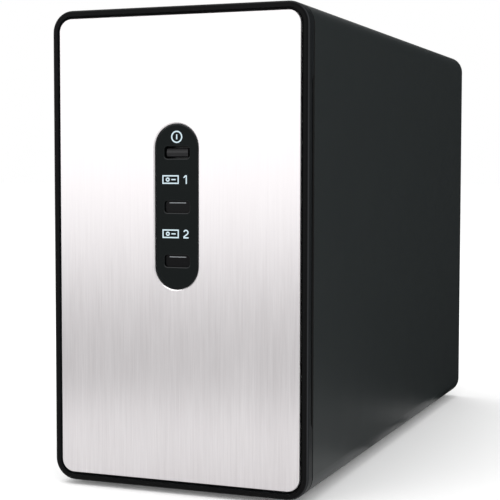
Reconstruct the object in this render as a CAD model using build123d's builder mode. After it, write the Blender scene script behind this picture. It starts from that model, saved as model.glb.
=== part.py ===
from build123d import *
from math import acos, atan2, cos, degrees, hypot, radians, sin, tan
import os

# Network attached storage with two drive bays, in millimetres.
# +X is the right side seen from the front, the front faces -Y and +Z is up. The origin is under the
# middle of the overall box, on the surface that the feet stand on.

# ---------------------------------------------------------------- driving dimensions
# Case
case_width = 90.0
case_height = 156.5
case_depth = 220.5
corner_radius = 7.1
shell_wall = 2.0
seam_gap = 0.1
seam_break = 0.4
foot_radius = 6.0
foot_proud = 1.5
foot_set_in = 0.8
foot_inset = 15.0
foot_from_end = 22.0

# Bezel and front plate
bezel_depth = 4.8
bezel_edge_radius = 1.2
bezel_lip = 1.9
bezel_floor = 2.0
spigot_depth = 8.0
spigot_wall = 1.8
spigot_gap = 0.1
slit_length = 112.9
slit_depth = 1.8
slit_slant = 2.6
plate_gap = 0.9
plate_thickness = 1.5
plate_chamfer = 0.15
window_chamfer = 0.35
adhesive_thickness = 0.2
adhesive_margin = 3.0

# Control strip, power button and lenses
strip_width = 15.1
strip_height = 53.3
strip_rise = 14.0
strip_recess = 0.5
strip_edge_radius = 0.5
strip_flange = 1.5
flange_thickness = 1.2
strip_gap = 0.15
slot_width = 8.9
slot_height = 4.0
slot_radius = 1.0
slot_pitch = 17.5
slot_edge_radius = 0.35
button_gap = 0.5
button_side_gap = 0.75
button_recess = 0.45
button_bulge = 0.55
button_travel = 0.6
stem_radius = 1.5
lens_recess = 0.9
lens_gap = 0.05
retainer_margin = 1.0
retainer_thickness = 0.8

# Front board
front_board_distance = 14.0
front_board_thickness = 1.2
front_board_width = 43.0
front_board_height = 72.0
front_board_shift = 9.5
boss_radius = 3.0
boss_pilot_radius = 1.0
boss_spacing_x = 33.0
boss_spacing_z = 64.0
switch_size = 6.0
switch_depth = 3.5
plunger_radius = 1.75
light_height = 1.9

# Rear panel
panel_thickness = 1.0
panel_recess = 1.5
panel_gap = 0.3
thumb_head_radius = 4.5
thumb_head_length = 6.5
thumb_inset = 13.0
port_radius = 4.0
port_drop = 5.3
port_web = 4.0
port_bore_radius = 1.55
running_clearance = 0.09
thread_depth = 12.0
lock_slot_width = 7.0
lock_slot_height = 3.2

# Drives, 3.5-inch form factor
drive_thickness = 26.1
drive_width = 101.6
drive_length = 147.0
drive_hole_height = 6.35
drive_hole_from_plug = 28.5
drive_hole_spacing = 101.6
drive_gap = 5.0
platter_radius = 47.5
platter_thickness = 1.27
platter_pitch = 4.2
chamber_depth = 16.0
spindle_from_front = 51.5
pivot_from_spindle_y = 52.0
pivot_from_spindle_z = -24.0
arm_length = 49.0
parked_reach = 49.6
inner_reach = 21.0

# Drive cage
sheet = 1.0
cage_side_gap = 0.4
bay_clearance = 0.5
rail_width = 2.0
rail_height = 3.0
rail_gap = 0.2
drive_distance = 22.0
flange_height = 11.0

# Boards
board_thickness = 1.6
backplane_gap = 3.0
backplane_height = 92.0
standoff_length = 5.0
standoff_radius = 2.75
main_board_rise = 3.3
main_board_height = 118.0
tongue_height = 26.0
tongue_depth = 6.0
link_depth = 8.0
edge_gap = 0.1

# Fan
fan_size = 60.0
fan_depth = 15.0
fan_hole_inset = 5.0
fan_duct_wall = 1.4
fan_rise = 62.0
hub_radius = 14.0
blade_gap = 0.8
blade_count = 7
bearing_radius = 1.5
bearing_clearance = 0.05

# Screws
screw_radius = 1.45
screw_hole_radius = 1.75
screw_head_radius = 2.8
screw_head_height = 1.8
fan_screw_radius = 2.0
fan_hole_radius = 2.15

# ---------------------------------------------------------------- places worked out from them
thumb_proud = thumb_head_length - panel_recess
front = -(case_depth + thumb_proud) / 2
back = front + case_depth
bottom = foot_proud
top = bottom + case_height
middle = bottom + case_height / 2
floor_z = bottom + shell_wall
inner_width = case_width - 2 * shell_wall
inner_height = case_height - 2 * shell_wall
seam = front + bezel_depth
shell_front = seam + seam_gap
recess_floor = front + plate_thickness + adhesive_thickness
panel_back = recess_floor + bezel_floor
plate_width = case_width - 2 * (bezel_lip + plate_gap)
plate_height = case_height - 2 * (bezel_lip + plate_gap)
plate_radius = corner_radius - bezel_lip - plate_gap
strip_z = middle + strip_rise
strip_front = front + strip_recess
strip_back = panel_back + flange_thickness
button_z = strip_z + slot_pitch
lens_heights = (strip_z, strip_z - slot_pitch)
front_board_y = front + front_board_distance
front_board_back = front_board_y + front_board_thickness
rear_face = back - panel_recess
rear_inner = rear_face - panel_thickness

cage_left = -inner_width / 2 + cage_side_gap
drive_1_x = cage_left + sheet + bay_clearance
drive_2_x = drive_1_x + drive_thickness + drive_gap
cage_right = drive_2_x + drive_thickness + bay_clearance + sheet
drive_front = front + drive_distance
drive_back = drive_front + drive_length
drive_mid_y = drive_front + drive_length / 2
tray_z = floor_z + rail_height + rail_gap
drive_z = tray_z + sheet
drive_top = drive_z + drive_width
drive_mid_z = drive_z + drive_width / 2
side_hole_ys = (
    drive_back - drive_hole_from_plug - drive_hole_spacing,
    drive_back - drive_hole_from_plug,
)
backplane_y = drive_back + backplane_gap

fan_right = cage_left + fan_size + edge_gap
board_x = max(cage_right, fan_right) + standoff_length
board_face = board_x + board_thickness
board_low = floor_z + rail_height + main_board_rise
board_top = board_low + main_board_height
link_back = front_board_back + link_depth
board_front = link_back + 2 * sheet
fan_hole_spacing = fan_size - 2 * fan_hole_inset
fan_bore_radius = fan_size / 2 - fan_duct_wall
fan_x = cage_left + fan_size / 2 + edge_gap
fan_z = fan_rise
fan_front = rear_inner - fan_depth


# ---------------------------------------------------------------- helpers
def across(y):
    """Plane across the case at depth y, seen from the front: x right, z up, extruding forwards."""
    return Plane(origin=(0, y, 0), x_dir=(1, 0, 0), z_dir=(0, -1, 0))


def along(x):
    """Plane along the case at x, seen from the right: y right, z up, extruding to the right."""
    return Plane(origin=(x, 0, 0), x_dir=(0, 1, 0), z_dir=(1, 0, 0))


def block(low, high, mode=Mode.ADD):
    """Box between two opposite corners."""
    size = [high[axis] - low[axis] for axis in range(3)]
    centre = tuple((high[axis] + low[axis]) / 2 for axis in range(3))
    with Locations(centre):
        Box(*size, mode=mode)


def rod(centre, direction, radius, length, mode=Mode.ADD):
    """Cylinder that starts at a point and runs along a direction."""
    with Locations(Plane(origin=centre, z_dir=direction)):
        Cylinder(radius, length, align=(Align.CENTER, Align.CENTER, Align.MIN), mode=mode)


def screw(centre, direction, length, radius=screw_radius, head_radius=screw_head_radius):
    """Pan-head screw whose head rests at a point and whose shank runs along a direction."""
    outwards = Vector(*direction) * -1
    rod(centre, direction, radius, length)
    rod(centre, outwards, head_radius, screw_head_height)


def save(build, label):
    """Label a finished piece and write it."""
    build.part.label = label
    export_step(build.part, f"parts/{label}.step")


os.makedirs("parts", exist_ok=True)
backwards = (0, 1, 0)
forwards = (0, -1, 0)
rightwards = (1, 0, 0)
leftwards = (-1, 0, 0)
upwards = (0, 0, 1)
downwards = (0, 0, -1)

# ---------------------------------------------------------------- case: shell
rail_positions = (cage_left + rail_width + sheet, cage_right - rail_width)
port_z = top - shell_wall - port_drop
thumb_positions = (-case_width / 2 + thumb_inset, case_width / 2 - thumb_inset)
port_front = shell_front + spigot_depth + sheet
bezel_screw_y = seam + spigot_depth / 2
bezel_screw_inset = 20.0
bezel_screw_positions = (-case_width / 2 + bezel_screw_inset, case_width / 2 - bezel_screw_inset)
bezel_screw_sink = 3.0
bezel_screw_angle = 90
bezel_screw_length = 7.0
foot_places = {
    "foot_front_left": (-case_width / 2 + foot_inset, front + foot_from_end),
    "foot_front_right": (case_width / 2 - foot_inset, front + foot_from_end),
    "foot_rear_left": (-case_width / 2 + foot_inset, back - foot_from_end),
    "foot_rear_right": (case_width / 2 - foot_inset, back - foot_from_end),
}

# Extruded tube, open at both ends, with two rails for the drive tray on its floor and two screw
# ports under its roof.
with BuildPart() as shell:
    with BuildSketch(across(shell_front)):
        with Locations((0, middle)):
            RectangleRounded(case_width, case_height, corner_radius)
            RectangleRounded(
                inner_width, inner_height, corner_radius - shell_wall, mode=Mode.SUBTRACT
            )
    extrude(amount=shell_front - back)
    cut_ends = [shell.faces().sort_by(Axis.Y)[end].outer_wire().edges() for end in (0, -1)]
    chamfer([edge for cut_end in cut_ends for edge in cut_end], seam_break)
    with BuildSketch(across(port_front)):
        with Locations(*[(x, floor_z) for x in rail_positions]):
            Rectangle(rail_width, rail_height, align=(Align.CENTER, Align.MIN))
        with Locations(*[(x, port_z) for x in thumb_positions]):
            Circle(port_radius)
            Rectangle(port_web, port_drop + shell_wall / 2, align=(Align.CENTER, Align.MIN))
    extrude(amount=port_front - rear_inner + seam_gap)
    for thumb_x in thumb_positions:
        rod((thumb_x, rear_inner, port_z), forwards, port_bore_radius, thread_depth, Mode.SUBTRACT)
    for foot_x, foot_y in foot_places.values():
        rod((foot_x, foot_y, bottom), upwards, foot_radius, foot_set_in, Mode.SUBTRACT)
    with Locations(
        *[Plane(origin=(x, bezel_screw_y, bottom), z_dir=downwards) for x in bezel_screw_positions]
    ):
        CounterSinkHole(
            screw_hole_radius, bezel_screw_sink, shell_wall + seam_gap, bezel_screw_angle
        )
save(shell, "shell")

# Rubber feet, each set in a round pocket.
foot_edge_radius = 0.5
for foot_name, (foot_x, foot_y) in foot_places.items():
    with BuildPart() as foot:
        rod((foot_x, foot_y, 0), upwards, foot_radius, foot_proud + foot_set_in)
        fillet(foot.edges().group_by(Axis.Z)[0], foot_edge_radius)
    save(foot, foot_name)

# ---------------------------------------------------------------- case: bezel
spigot_width = inner_width - 2 * spigot_gap
spigot_height = inner_height - 2 * spigot_gap
spigot_radius = corner_radius - shell_wall - spigot_gap
spigot_back = seam + spigot_depth
boss_places = [
    (front_board_shift + side * boss_spacing_x / 2, strip_z + level * boss_spacing_z / 2)
    for side in (-1, 1)
    for level in (-1, 1)
]
screw_block = 8.0
slit_half = slit_length / 2
slit_reach = shell_wall + spigot_gap + spigot_wall

# Front moulding: a rim round the recess for the front plate, a spigot that fills the shell's mouth,
# bosses for the front board, and an air slit cut into the rear edge of each side.
with BuildPart() as bezel:
    with BuildSketch(across(front)):
        with Locations((0, middle)):
            RectangleRounded(case_width, case_height, corner_radius)
    extrude(amount=-bezel_depth)
    fillet(bezel.faces().sort_by(Axis.Y)[0].edges(), bezel_edge_radius)
    chamfer(bezel.faces().sort_by(Axis.Y)[-1].edges(), seam_break)
    with BuildSketch(across(seam)):
        with Locations((0, middle)):
            RectangleRounded(spigot_width, spigot_height, spigot_radius)
    extrude(amount=-spigot_depth)
    with BuildSketch(across(panel_back)):
        with Locations((0, middle)):
            RectangleRounded(
                spigot_width - 2 * spigot_wall,
                spigot_height - 2 * spigot_wall,
                spigot_radius - spigot_wall,
            )
    extrude(amount=panel_back - spigot_back, mode=Mode.SUBTRACT)
    with BuildSketch(across(recess_floor)):
        with Locations((0, middle)):
            RectangleRounded(
                case_width - 2 * bezel_lip, case_height - 2 * bezel_lip, corner_radius - bezel_lip
            )
    extrude(amount=recess_floor - front, mode=Mode.SUBTRACT)
    with BuildSketch(across(panel_back)):
        with Locations((0, strip_z)):
            SlotOverall(strip_height + 2 * strip_gap, strip_width + 2 * strip_gap, rotation=90)
    extrude(amount=bezel_floor, mode=Mode.SUBTRACT)
    for side in (-1, 1):
        with BuildSketch(along(side * case_width / 2)):
            with BuildLine():
                Polyline(
                    (seam, middle - slit_half),
                    (seam - slit_depth, middle - slit_half + slit_slant),
                    (seam - slit_depth, middle + slit_half - slit_slant),
                    (seam, middle + slit_half),
                    close=True,
                )
            make_face()
        extrude(amount=-side * slit_reach, mode=Mode.SUBTRACT)
    for boss_x, boss_z in boss_places:
        rod((boss_x, panel_back, boss_z), backwards, boss_radius, front_board_y - panel_back)
        rod(
            (boss_x, front_board_y, boss_z),
            forwards,
            boss_pilot_radius,
            front_board_y - strip_back,
            Mode.SUBTRACT,
        )
    spigot_floor = middle - spigot_height / 2
    for screw_x in bezel_screw_positions:
        block(
            (screw_x - screw_block / 2, panel_back, spigot_floor),
            (screw_x + screw_block / 2, spigot_back, spigot_floor + screw_block),
        )
        rod(
            (screw_x, bezel_screw_y, spigot_floor),
            upwards,
            screw_radius,
            bezel_screw_length,
            Mode.SUBTRACT,
        )
save(bezel, "bezel")

# Countersunk screws that come up through the shell's floor into the bezel's screw blocks.
with BuildPart() as bezel_screws:
    for screw_x in bezel_screw_positions:
        rod((screw_x, bezel_screw_y, bottom), upwards, screw_radius, bezel_screw_length)
        with Locations(Plane(origin=(screw_x, bezel_screw_y, bottom), z_dir=upwards)):
            Cone(
                bezel_screw_sink,
                screw_radius,
                bezel_screw_sink - screw_radius,
                align=(Align.CENTER, Align.CENTER, Align.MIN),
            )
save(bezel_screws, "bezel_screws")

# ---------------------------------------------------------------- case: front plate
# Flat sheet with rounded corners and a pill-shaped window whose edge is cut back at a slant.
with BuildPart() as front_plate:
    with BuildSketch(across(front + plate_thickness)):
        with Locations((0, middle)):
            RectangleRounded(plate_width, plate_height, plate_radius)
        with Locations((0, strip_z)):
            SlotOverall(
                strip_height + 2 * strip_gap,
                strip_width + 2 * strip_gap,
                rotation=90,
                mode=Mode.SUBTRACT,
            )
    extrude(amount=plate_thickness)
    plate_face = front_plate.faces().sort_by(Axis.Y)[0]
    window_edges = plate_face.inner_wires()[0].edges()
    chamfer(plate_face.outer_wire().edges(), plate_chamfer)
    chamfer(window_edges, window_chamfer)
save(front_plate, "front_plate")

# Double-sided sheet between the plate and the bezel's floor.
with BuildPart() as plate_adhesive:
    with BuildSketch(across(recess_floor)):
        with Locations((0, middle)):
            RectangleRounded(
                plate_width - 2 * adhesive_margin, plate_height - 2 * adhesive_margin, plate_radius
            )
        with Locations((0, strip_z)):
            SlotOverall(
                strip_height + 2 * adhesive_margin,
                strip_width + 2 * adhesive_margin,
                rotation=90,
                mode=Mode.SUBTRACT,
            )
    extrude(amount=adhesive_thickness)
save(plate_adhesive, "plate_adhesive")

# ---------------------------------------------------------------- case: control strip
slot_places = [(0, strip_z + step * slot_pitch) for step in (-1, 0, 1)]

# Pill-shaped moulding pushed through the bezel from behind until its flange stops it, with three
# rounded slots for the button and the lenses.
with BuildPart() as control_strip:
    with BuildSketch(across(strip_back)):
        with Locations((0, strip_z)):
            SlotOverall(strip_height, strip_width, rotation=90)
    extrude(amount=strip_back - strip_front)
    fillet(control_strip.faces().sort_by(Axis.Y)[0].edges(), strip_edge_radius)
    with BuildSketch(across(strip_back)):
        with Locations((0, strip_z)):
            SlotOverall(strip_height + 2 * strip_flange, strip_width + 2 * strip_flange, rotation=90)
    extrude(amount=flange_thickness)
    with BuildSketch(across(strip_back)):
        with Locations(*slot_places):
            RectangleRounded(slot_width, slot_height, slot_radius)
    extrude(amount=strip_back - strip_front, mode=Mode.SUBTRACT)
    strip_face = control_strip.faces().sort_by(Axis.Y)[0]
    slot_rims = [wire.edges() for wire in strip_face.inner_wires()]
    fillet([edge for rim in slot_rims for edge in rim], slot_edge_radius)
save(control_strip, "control_strip")

# ---------------------------------------------------------------- case: power button
retainer_front = strip_back + seam_gap
retainer_back = retainer_front + retainer_thickness
plunger_front = front_board_y - switch_depth - switch_size / 4
cap_front = strip_front + button_recess
cap_height = slot_height - 2 * button_gap
cap_width = slot_width - 2 * button_side_gap

# Cap that bulges about a level axis, a retainer behind the strip and a stem to the switch.
with BuildPart() as power_button:
    with BuildSketch(across(retainer_back)):
        with Locations((0, button_z)):
            RectangleRounded(cap_width, cap_height, slot_radius - button_gap)
    extrude(amount=retainer_back - cap_front)
    with BuildSketch(along(0)):
        with BuildLine():
            shoulder = cap_front + button_bulge
            ThreePointArc(
                (shoulder, button_z - cap_height / 2),
                (cap_front, button_z),
                (shoulder, button_z + cap_height / 2),
            )
            Polyline(
                (shoulder, button_z + cap_height / 2),
                (retainer_back, button_z + cap_height / 2),
                (retainer_back, button_z - cap_height / 2),
                (shoulder, button_z - cap_height / 2),
            )
        make_face()
    extrude(amount=cap_width, both=True, mode=Mode.INTERSECT)
    with BuildSketch(across(retainer_back)):
        with Locations((0, button_z)):
            RectangleRounded(
                slot_width + 2 * retainer_margin, slot_height + 2 * retainer_margin, slot_radius
            )
    extrude(amount=retainer_thickness)
    rod((0, retainer_back, button_z), backwards, stem_radius, plunger_front - retainer_back)
save(power_button, "power_button")

# ---------------------------------------------------------------- case: lenses
lens_front = strip_front + lens_recess
light_front = front_board_y - light_height
pipe_width = 4.0
pipe_height = 3.0
pipe_end = light_front - sheet / 4

# Smoked windows, each with a light pipe behind it that reaches its lamp.
for number, lens_z in enumerate(lens_heights, start=1):
    with BuildPart() as drive_lens:
        with BuildSketch(across(strip_back)):
            with Locations((0, lens_z)):
                RectangleRounded(
                    slot_width - 2 * lens_gap, slot_height - 2 * lens_gap, slot_radius - lens_gap
                )
        extrude(amount=strip_back - lens_front)
        with BuildSketch(across(strip_back + retainer_thickness)):
            with Locations((0, lens_z)):
                RectangleRounded(
                    slot_width + 2 * retainer_margin, slot_height + 2 * retainer_margin, slot_radius
                )
        extrude(amount=retainer_thickness)
        with BuildSketch(across(pipe_end)):
            with Locations((0, lens_z)):
                Rectangle(pipe_width, pipe_height)
        extrude(amount=pipe_end - strip_back)
    save(drive_lens, f"drive_{number}_lens")

# ---------------------------------------------------------------- case: front board
# Circuit board on the bezel's bosses, carrying the switch, the lamps and the socket.
with BuildPart() as front_board:
    with BuildSketch(across(front_board_back)):
        with Locations((front_board_shift, strip_z)):
            Rectangle(front_board_width, front_board_height)
        with Locations(*boss_places):
            Circle(screw_radius, mode=Mode.SUBTRACT)
    extrude(amount=front_board_thickness)
save(front_board, "front_board")

front_screw_length = 8.0
front_screw_radius = 0.95
with BuildPart() as front_board_screws:
    for boss_x, boss_z in boss_places:
        screw(
            (boss_x, front_board_back, boss_z), forwards, front_screw_length, front_screw_radius
        )
save(front_board_screws, "front_board_screws")

with BuildPart() as front_lights:
    with BuildSketch(across(front_board_y)):
        with Locations(*[(0, lens_z) for lens_z in lens_heights]):
            Rectangle(pipe_width - seam_gap, pipe_height - seam_gap)
    extrude(amount=light_height)
save(front_lights, "front_lights")

# Push switch: a square body with a round well, and the plunger that moves in it with the button.
plunger_room = button_travel + 2 * edge_gap
plunger_length = switch_depth - plunger_room - sheet / 2 + switch_size / 4
with BuildPart() as power_switch:
    with BuildSketch(across(front_board_y)):
        with Locations((0, button_z)):
            RectangleRounded(switch_size, switch_size, sheet / 2)
    extrude(amount=switch_depth)
    rod(
        (0, front_board_y - switch_depth, button_z),
        backwards,
        plunger_radius + bearing_clearance,
        switch_depth - sheet / 2,
        Mode.SUBTRACT,
    )
save(power_switch, "power_switch")

with BuildPart() as switch_plunger:
    rod((0, plunger_front, button_z), backwards, plunger_radius, plunger_length)
save(switch_plunger, "switch_plunger")

# Socket behind the front board that takes the main board's tongue as the sled goes home.
link_half_width = 3.0
link_half_height = tongue_height / 2 + sheet
with BuildPart() as front_socket:
    block(
        (board_x + board_thickness / 2 - link_half_width, front_board_back, strip_z - link_half_height),
        (board_x + board_thickness / 2 + link_half_width, link_back, strip_z + link_half_height),
    )
    block(
        (board_x - edge_gap, link_back - tongue_depth - edge_gap, strip_z - tongue_height / 2 - edge_gap),
        (board_face + edge_gap, link_back, strip_z + tongue_height / 2 + edge_gap),
        Mode.SUBTRACT,
    )
save(front_socket, "front_socket")

# ---------------------------------------------------------------- sled: rear panel
jack_width = 16.0
jack_height = 13.5
jack_depth = 21.0
usb_width = 13.2
usb_height = 7.0
usb_depth = 14.0
inlet_width = 9.0
inlet_height = 11.0
inlet_depth = 14.0
cutout_gap = 0.3
jack_z = board_low + 80.0
usb_heights = (board_low + 36.0, board_low + 56.0)
inlet_z = board_low + 14.0
reset_z = board_low + 99.0
reset_rise = 4.0
reset_x = board_face + reset_rise
reset_radius = 1.3
reset_hole_radius = 1.7
lock_z = board_low + 125.0
lock_x = board_face + jack_height / 2
panel_width = inner_width - 2 * panel_gap
panel_height = inner_height - 2 * panel_gap
panel_radius = corner_radius - shell_wall - panel_gap
fan_holes = [
    (fan_x + side * fan_hole_spacing / 2, fan_z + level * fan_hole_spacing / 2)
    for side in (-1, 1)
    for level in (-1, 1)
]
flange_screw_z = tray_z + sheet + flange_height / 2
flange_screw_xs = (drive_1_x + drive_thickness / 2, drive_2_x + drive_thickness / 2)
guard_bar = 1.6
guard_rings = 5
guard_spokes = 4
vent_length = 30.0
vent_width = 3.0
vent_count = 4
vent_z = fan_z + fan_size / 2 + 15.0

# Steel sheet with the fan's finger guard punched in it, vents above, and a column of openings for
# the sockets.
with BuildPart() as rear_panel:
    with BuildSketch(across(rear_face)):
        with Locations((0, middle)):
            RectangleRounded(panel_width, panel_height, panel_radius)
        with Locations(*[(x, port_z) for x in thumb_positions], *fan_holes):
            Circle(fan_hole_radius, mode=Mode.SUBTRACT)
        with Locations(*[(x, flange_screw_z) for x in flange_screw_xs]):
            Circle(screw_hole_radius, mode=Mode.SUBTRACT)
        with Locations((board_face + jack_height / 2, jack_z)):
            Rectangle(jack_height + 2 * cutout_gap, jack_width + 2 * cutout_gap, mode=Mode.SUBTRACT)
        with Locations(*[(board_face + usb_height / 2, z) for z in usb_heights]):
            Rectangle(usb_height + 2 * cutout_gap, usb_width + 2 * cutout_gap, mode=Mode.SUBTRACT)
        with Locations((board_face + inlet_height / 2, inlet_z)):
            Rectangle(
                inlet_height + 2 * cutout_gap, inlet_width + 2 * cutout_gap, mode=Mode.SUBTRACT
            )
        with Locations((reset_x, reset_z)):
            Circle(reset_hole_radius, mode=Mode.SUBTRACT)
        with Locations((lock_x, lock_z)):
            RectangleRounded(lock_slot_width, lock_slot_height, sheet, mode=Mode.SUBTRACT)
        with Locations((fan_x, vent_z)):
            with GridLocations(0, 2 * vent_width, 1, vent_count):
                SlotOverall(vent_length, vent_width, mode=Mode.SUBTRACT)
    extrude(amount=panel_thickness)
    with BuildSketch(across(rear_face)):
        with Locations((fan_x, fan_z)):
            Circle(fan_bore_radius - sheet)
            for ring in range(1, guard_rings + 1):
                outer = ring * (fan_bore_radius - sheet) / (guard_rings + 1)
                Circle(outer, mode=Mode.SUBTRACT)
                Circle(outer - guard_bar)
            with PolarLocations(0, guard_spokes, start_angle=45, angular_range=180):
                Rectangle(fan_size, 2 * guard_bar, mode=Mode.SUBTRACT)
    extrude(amount=panel_thickness, mode=Mode.SUBTRACT)
save(rear_panel, "rear_panel")

# Captive thumbscrews with ribbed heads.
rib_count = 24
rib_radius = 0.35
for thumb_name, thumb_x in zip(("thumbscrew_left", "thumbscrew_right"), thumb_positions):
    with BuildPart() as thumbscrew:
        with BuildSketch(across(rear_face)):
            with Locations((thumb_x, port_z)):
                Circle(thumb_head_radius)
                with PolarLocations(thumb_head_radius, rib_count):
                    Circle(rib_radius, mode=Mode.SUBTRACT)
                Rectangle(thumb_head_radius, sheet, mode=Mode.ADD)
        extrude(amount=-thumb_head_length)
        block(
            (thumb_x - thumb_head_radius, rear_face + thumb_head_length - sheet, port_z - sheet / 2),
            (thumb_x + thumb_head_radius, rear_face + thumb_head_length, port_z + sheet / 2),
            Mode.SUBTRACT,
        )
        rod(
            (thumb_x, rear_face, port_z),
            forwards,
            port_bore_radius - running_clearance,
            panel_thickness + thread_depth - sheet,
        )
    save(thumbscrew, thumb_name)

# ---------------------------------------------------------------- sled: drive cage
cage_vent_count = 6
cage_vent_pitch = 14.0
cage_vent_width = 6.0
cage_vent_length = 110.0
tab_width = 7.0
top_tab = 8.0
tab_from_front = 42.0
tab_from_back = 52.0
cage_screw_xs = (cage_left + top_tab / 2, cage_right - top_tab / 2)
cage_screw_ys = (drive_front + tab_from_front, drive_back - tab_from_back)
backplane_screw_x = cage_left + sheet + tab_width / 2
backplane_low = drive_z + sheet
backplane_screw_zs = (backplane_low + tab_width, backplane_low + backplane_height - tab_width)
drive_hole_xs = [x + drive_thickness - drive_hole_height for x in (drive_1_x, drive_2_x)]
standoff_places = [
    (y, z)
    for y in (drive_front + 3 * top_tab, drive_back - 3 * top_tab)
    for z in (board_low + top_tab, board_low + main_board_height / 2 + 3 * top_tab)
]
thread_radius = screw_radius

# Folded tray: a floor under both drives, a wall on each side with air slots, tabs at the top and
# behind, and a flange at the rear that the rear panel is screwed to.
with BuildPart() as drive_tray:
    block((cage_left, drive_front, tray_z), (cage_right, rear_inner, drive_z))
    block((cage_left, drive_front, tray_z), (cage_left + sheet, drive_back, drive_top + sheet))
    block((cage_right - sheet, drive_front, tray_z), (cage_right, drive_back, drive_top + sheet))
    with BuildSketch(along(cage_left)):
        with Locations((drive_mid_y, drive_mid_z)):
            with GridLocations(0, cage_vent_pitch, 1, cage_vent_count):
                SlotOverall(cage_vent_length, cage_vent_width)
    extrude(amount=cage_right - cage_left, mode=Mode.SUBTRACT)
    for standoff_y, standoff_z in standoff_places:
        rod((cage_right, standoff_y, standoff_z), leftwards, 2 * standoff_radius, sheet)
        rod((cage_right, standoff_y, standoff_z), leftwards, thread_radius, sheet, Mode.SUBTRACT)
    for tab_start, tab_end in (
        (cage_left, cage_left + top_tab),
        (cage_right - top_tab, cage_right),
    ):
        for tab_y in cage_screw_ys:
            block(
                (tab_start, tab_y - top_tab, drive_top + sheet),
                (tab_end, tab_y + top_tab, drive_top + 2 * sheet),
            )
    block(
        (cage_left, drive_back, backplane_low),
        (cage_left + sheet, backplane_y, backplane_low + backplane_height),
    )
    block(
        (cage_left, backplane_y - sheet, backplane_low),
        (cage_left + sheet + tab_width, backplane_y, backplane_low + backplane_height),
    )
    block((cage_left, rear_inner - sheet, drive_z), (cage_right, rear_inner, drive_z + flange_height))
    for flange_x in flange_screw_xs:
        rod(
            (flange_x, rear_inner, flange_screw_z),
            forwards,
            thread_radius,
            sheet,
            Mode.SUBTRACT,
        )
    for tab_x, tab_y in ((x, y) for x in cage_screw_xs for y in cage_screw_ys):
        rod((tab_x, tab_y, drive_top + sheet), upwards, thread_radius, sheet, Mode.SUBTRACT)
    for hole_x, hole_y in ((x, y) for x in drive_hole_xs for y in side_hole_ys):
        rod((hole_x, hole_y, tray_z), upwards, screw_hole_radius, sheet, Mode.SUBTRACT)
    for tab_z in backplane_screw_zs:
        rod(
            (backplane_screw_x, backplane_y, tab_z), forwards, thread_radius, sheet, Mode.SUBTRACT
        )
save(drive_tray, "drive_tray")

# Flat sheet across the top of the tray; the drives' upper screws go through it.
cage_top_z = drive_top + 2 * sheet
with BuildPart() as cage_top:
    block((cage_left, drive_front, cage_top_z), (cage_right, drive_back, cage_top_z + sheet))
    block(
        (drive_1_x, drive_front, drive_top),
        (drive_2_x + drive_thickness, drive_front + sheet, cage_top_z),
    )
    for tab_x, tab_y in ((x, y) for x in cage_screw_xs for y in cage_screw_ys):
        rod((tab_x, tab_y, cage_top_z), upwards, screw_hole_radius, sheet, Mode.SUBTRACT)
    for hole_x, hole_y in ((x, y) for x in drive_hole_xs for y in side_hole_ys):
        rod((hole_x, hole_y, drive_top), upwards, 2 * screw_radius, 2 * sheet)
        rod((hole_x, hole_y, drive_top), upwards, screw_hole_radius, 3 * sheet, Mode.SUBTRACT)
    with BuildSketch(Plane.XY.offset(cage_top_z)):
        with Locations(((cage_left + cage_right) / 2, drive_mid_y)):
            with GridLocations(0, 2 * cage_vent_width, 1, cage_vent_count):
                SlotOverall(drive_gap + drive_thickness, cage_vent_width)
    extrude(amount=sheet, mode=Mode.SUBTRACT)
save(cage_top, "cage_top")

drive_screw_length = 5.0
with BuildPart() as drive_screws:
    for hole_x, hole_y in ((x, y) for x in drive_hole_xs for y in side_hole_ys):
        screw((hole_x, hole_y, tray_z), upwards, drive_screw_length)
        screw((hole_x, hole_y, cage_top_z + sheet), downwards, drive_screw_length + 2 * sheet)
save(drive_screws, "drive_screws")

cage_screw_length = 4.0
with BuildPart() as cage_screws:
    for tab_x, tab_y in ((x, y) for x in cage_screw_xs for y in cage_screw_ys):
        screw(
            (tab_x, tab_y, cage_top_z + sheet),
            downwards,
            2 * sheet,
            screw_radius - bearing_clearance,
        )
    for flange_x in flange_screw_xs:
        screw(
            (flange_x, rear_face, flange_screw_z),
            forwards,
            cage_screw_length,
            screw_radius - bearing_clearance,
        )
save(cage_screws, "cage_screws")

# ---------------------------------------------------------------- sled: hard drives
cover_thickness = 1.2
drive_corner = 2.0
spindle_y = drive_front + spindle_from_front
pivot_y = spindle_y + pivot_from_spindle_y
pivot_z = drive_mid_z + pivot_from_spindle_z
pivot_reach = hypot(pivot_from_spindle_y, pivot_from_spindle_z)
chamber_gap = 1.0
arm_room_length = 66.0
arm_room_height = 92.0
arm_room_y = spindle_y + 52.0
card_recess = 3.0
card_thickness = 1.2
card_length = 100.0
card_height = 88.0
card_y = drive_back - card_length / 2 - sheet
plug_height = 42.0
plug_depth = 9.0
plug_width = 5.0
plug_tongue = 1.2
plug_z = drive_mid_z - 20.0
hub_cap_radius = 12.5
stack_depth = 2 * platter_pitch
platter_places = (0.5, 1.5)


def swing_angle(reach):
    """Angle at the pivot between the spindle and a head that is this far from the spindle."""
    opposite = pivot_reach**2 + arm_length**2 - reach**2
    return degrees(acos(opposite / (2 * pivot_reach * arm_length)))


towards_spindle = degrees(atan2(-pivot_from_spindle_z, -pivot_from_spindle_y))
parked_angle = towards_spindle - swing_angle(parked_reach)
arm_swing = swing_angle(parked_reach) - swing_angle(inner_reach)
print(f"head arm: parked at {parked_angle:.2f} degrees, swings {arm_swing:.2f} degrees")

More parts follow.
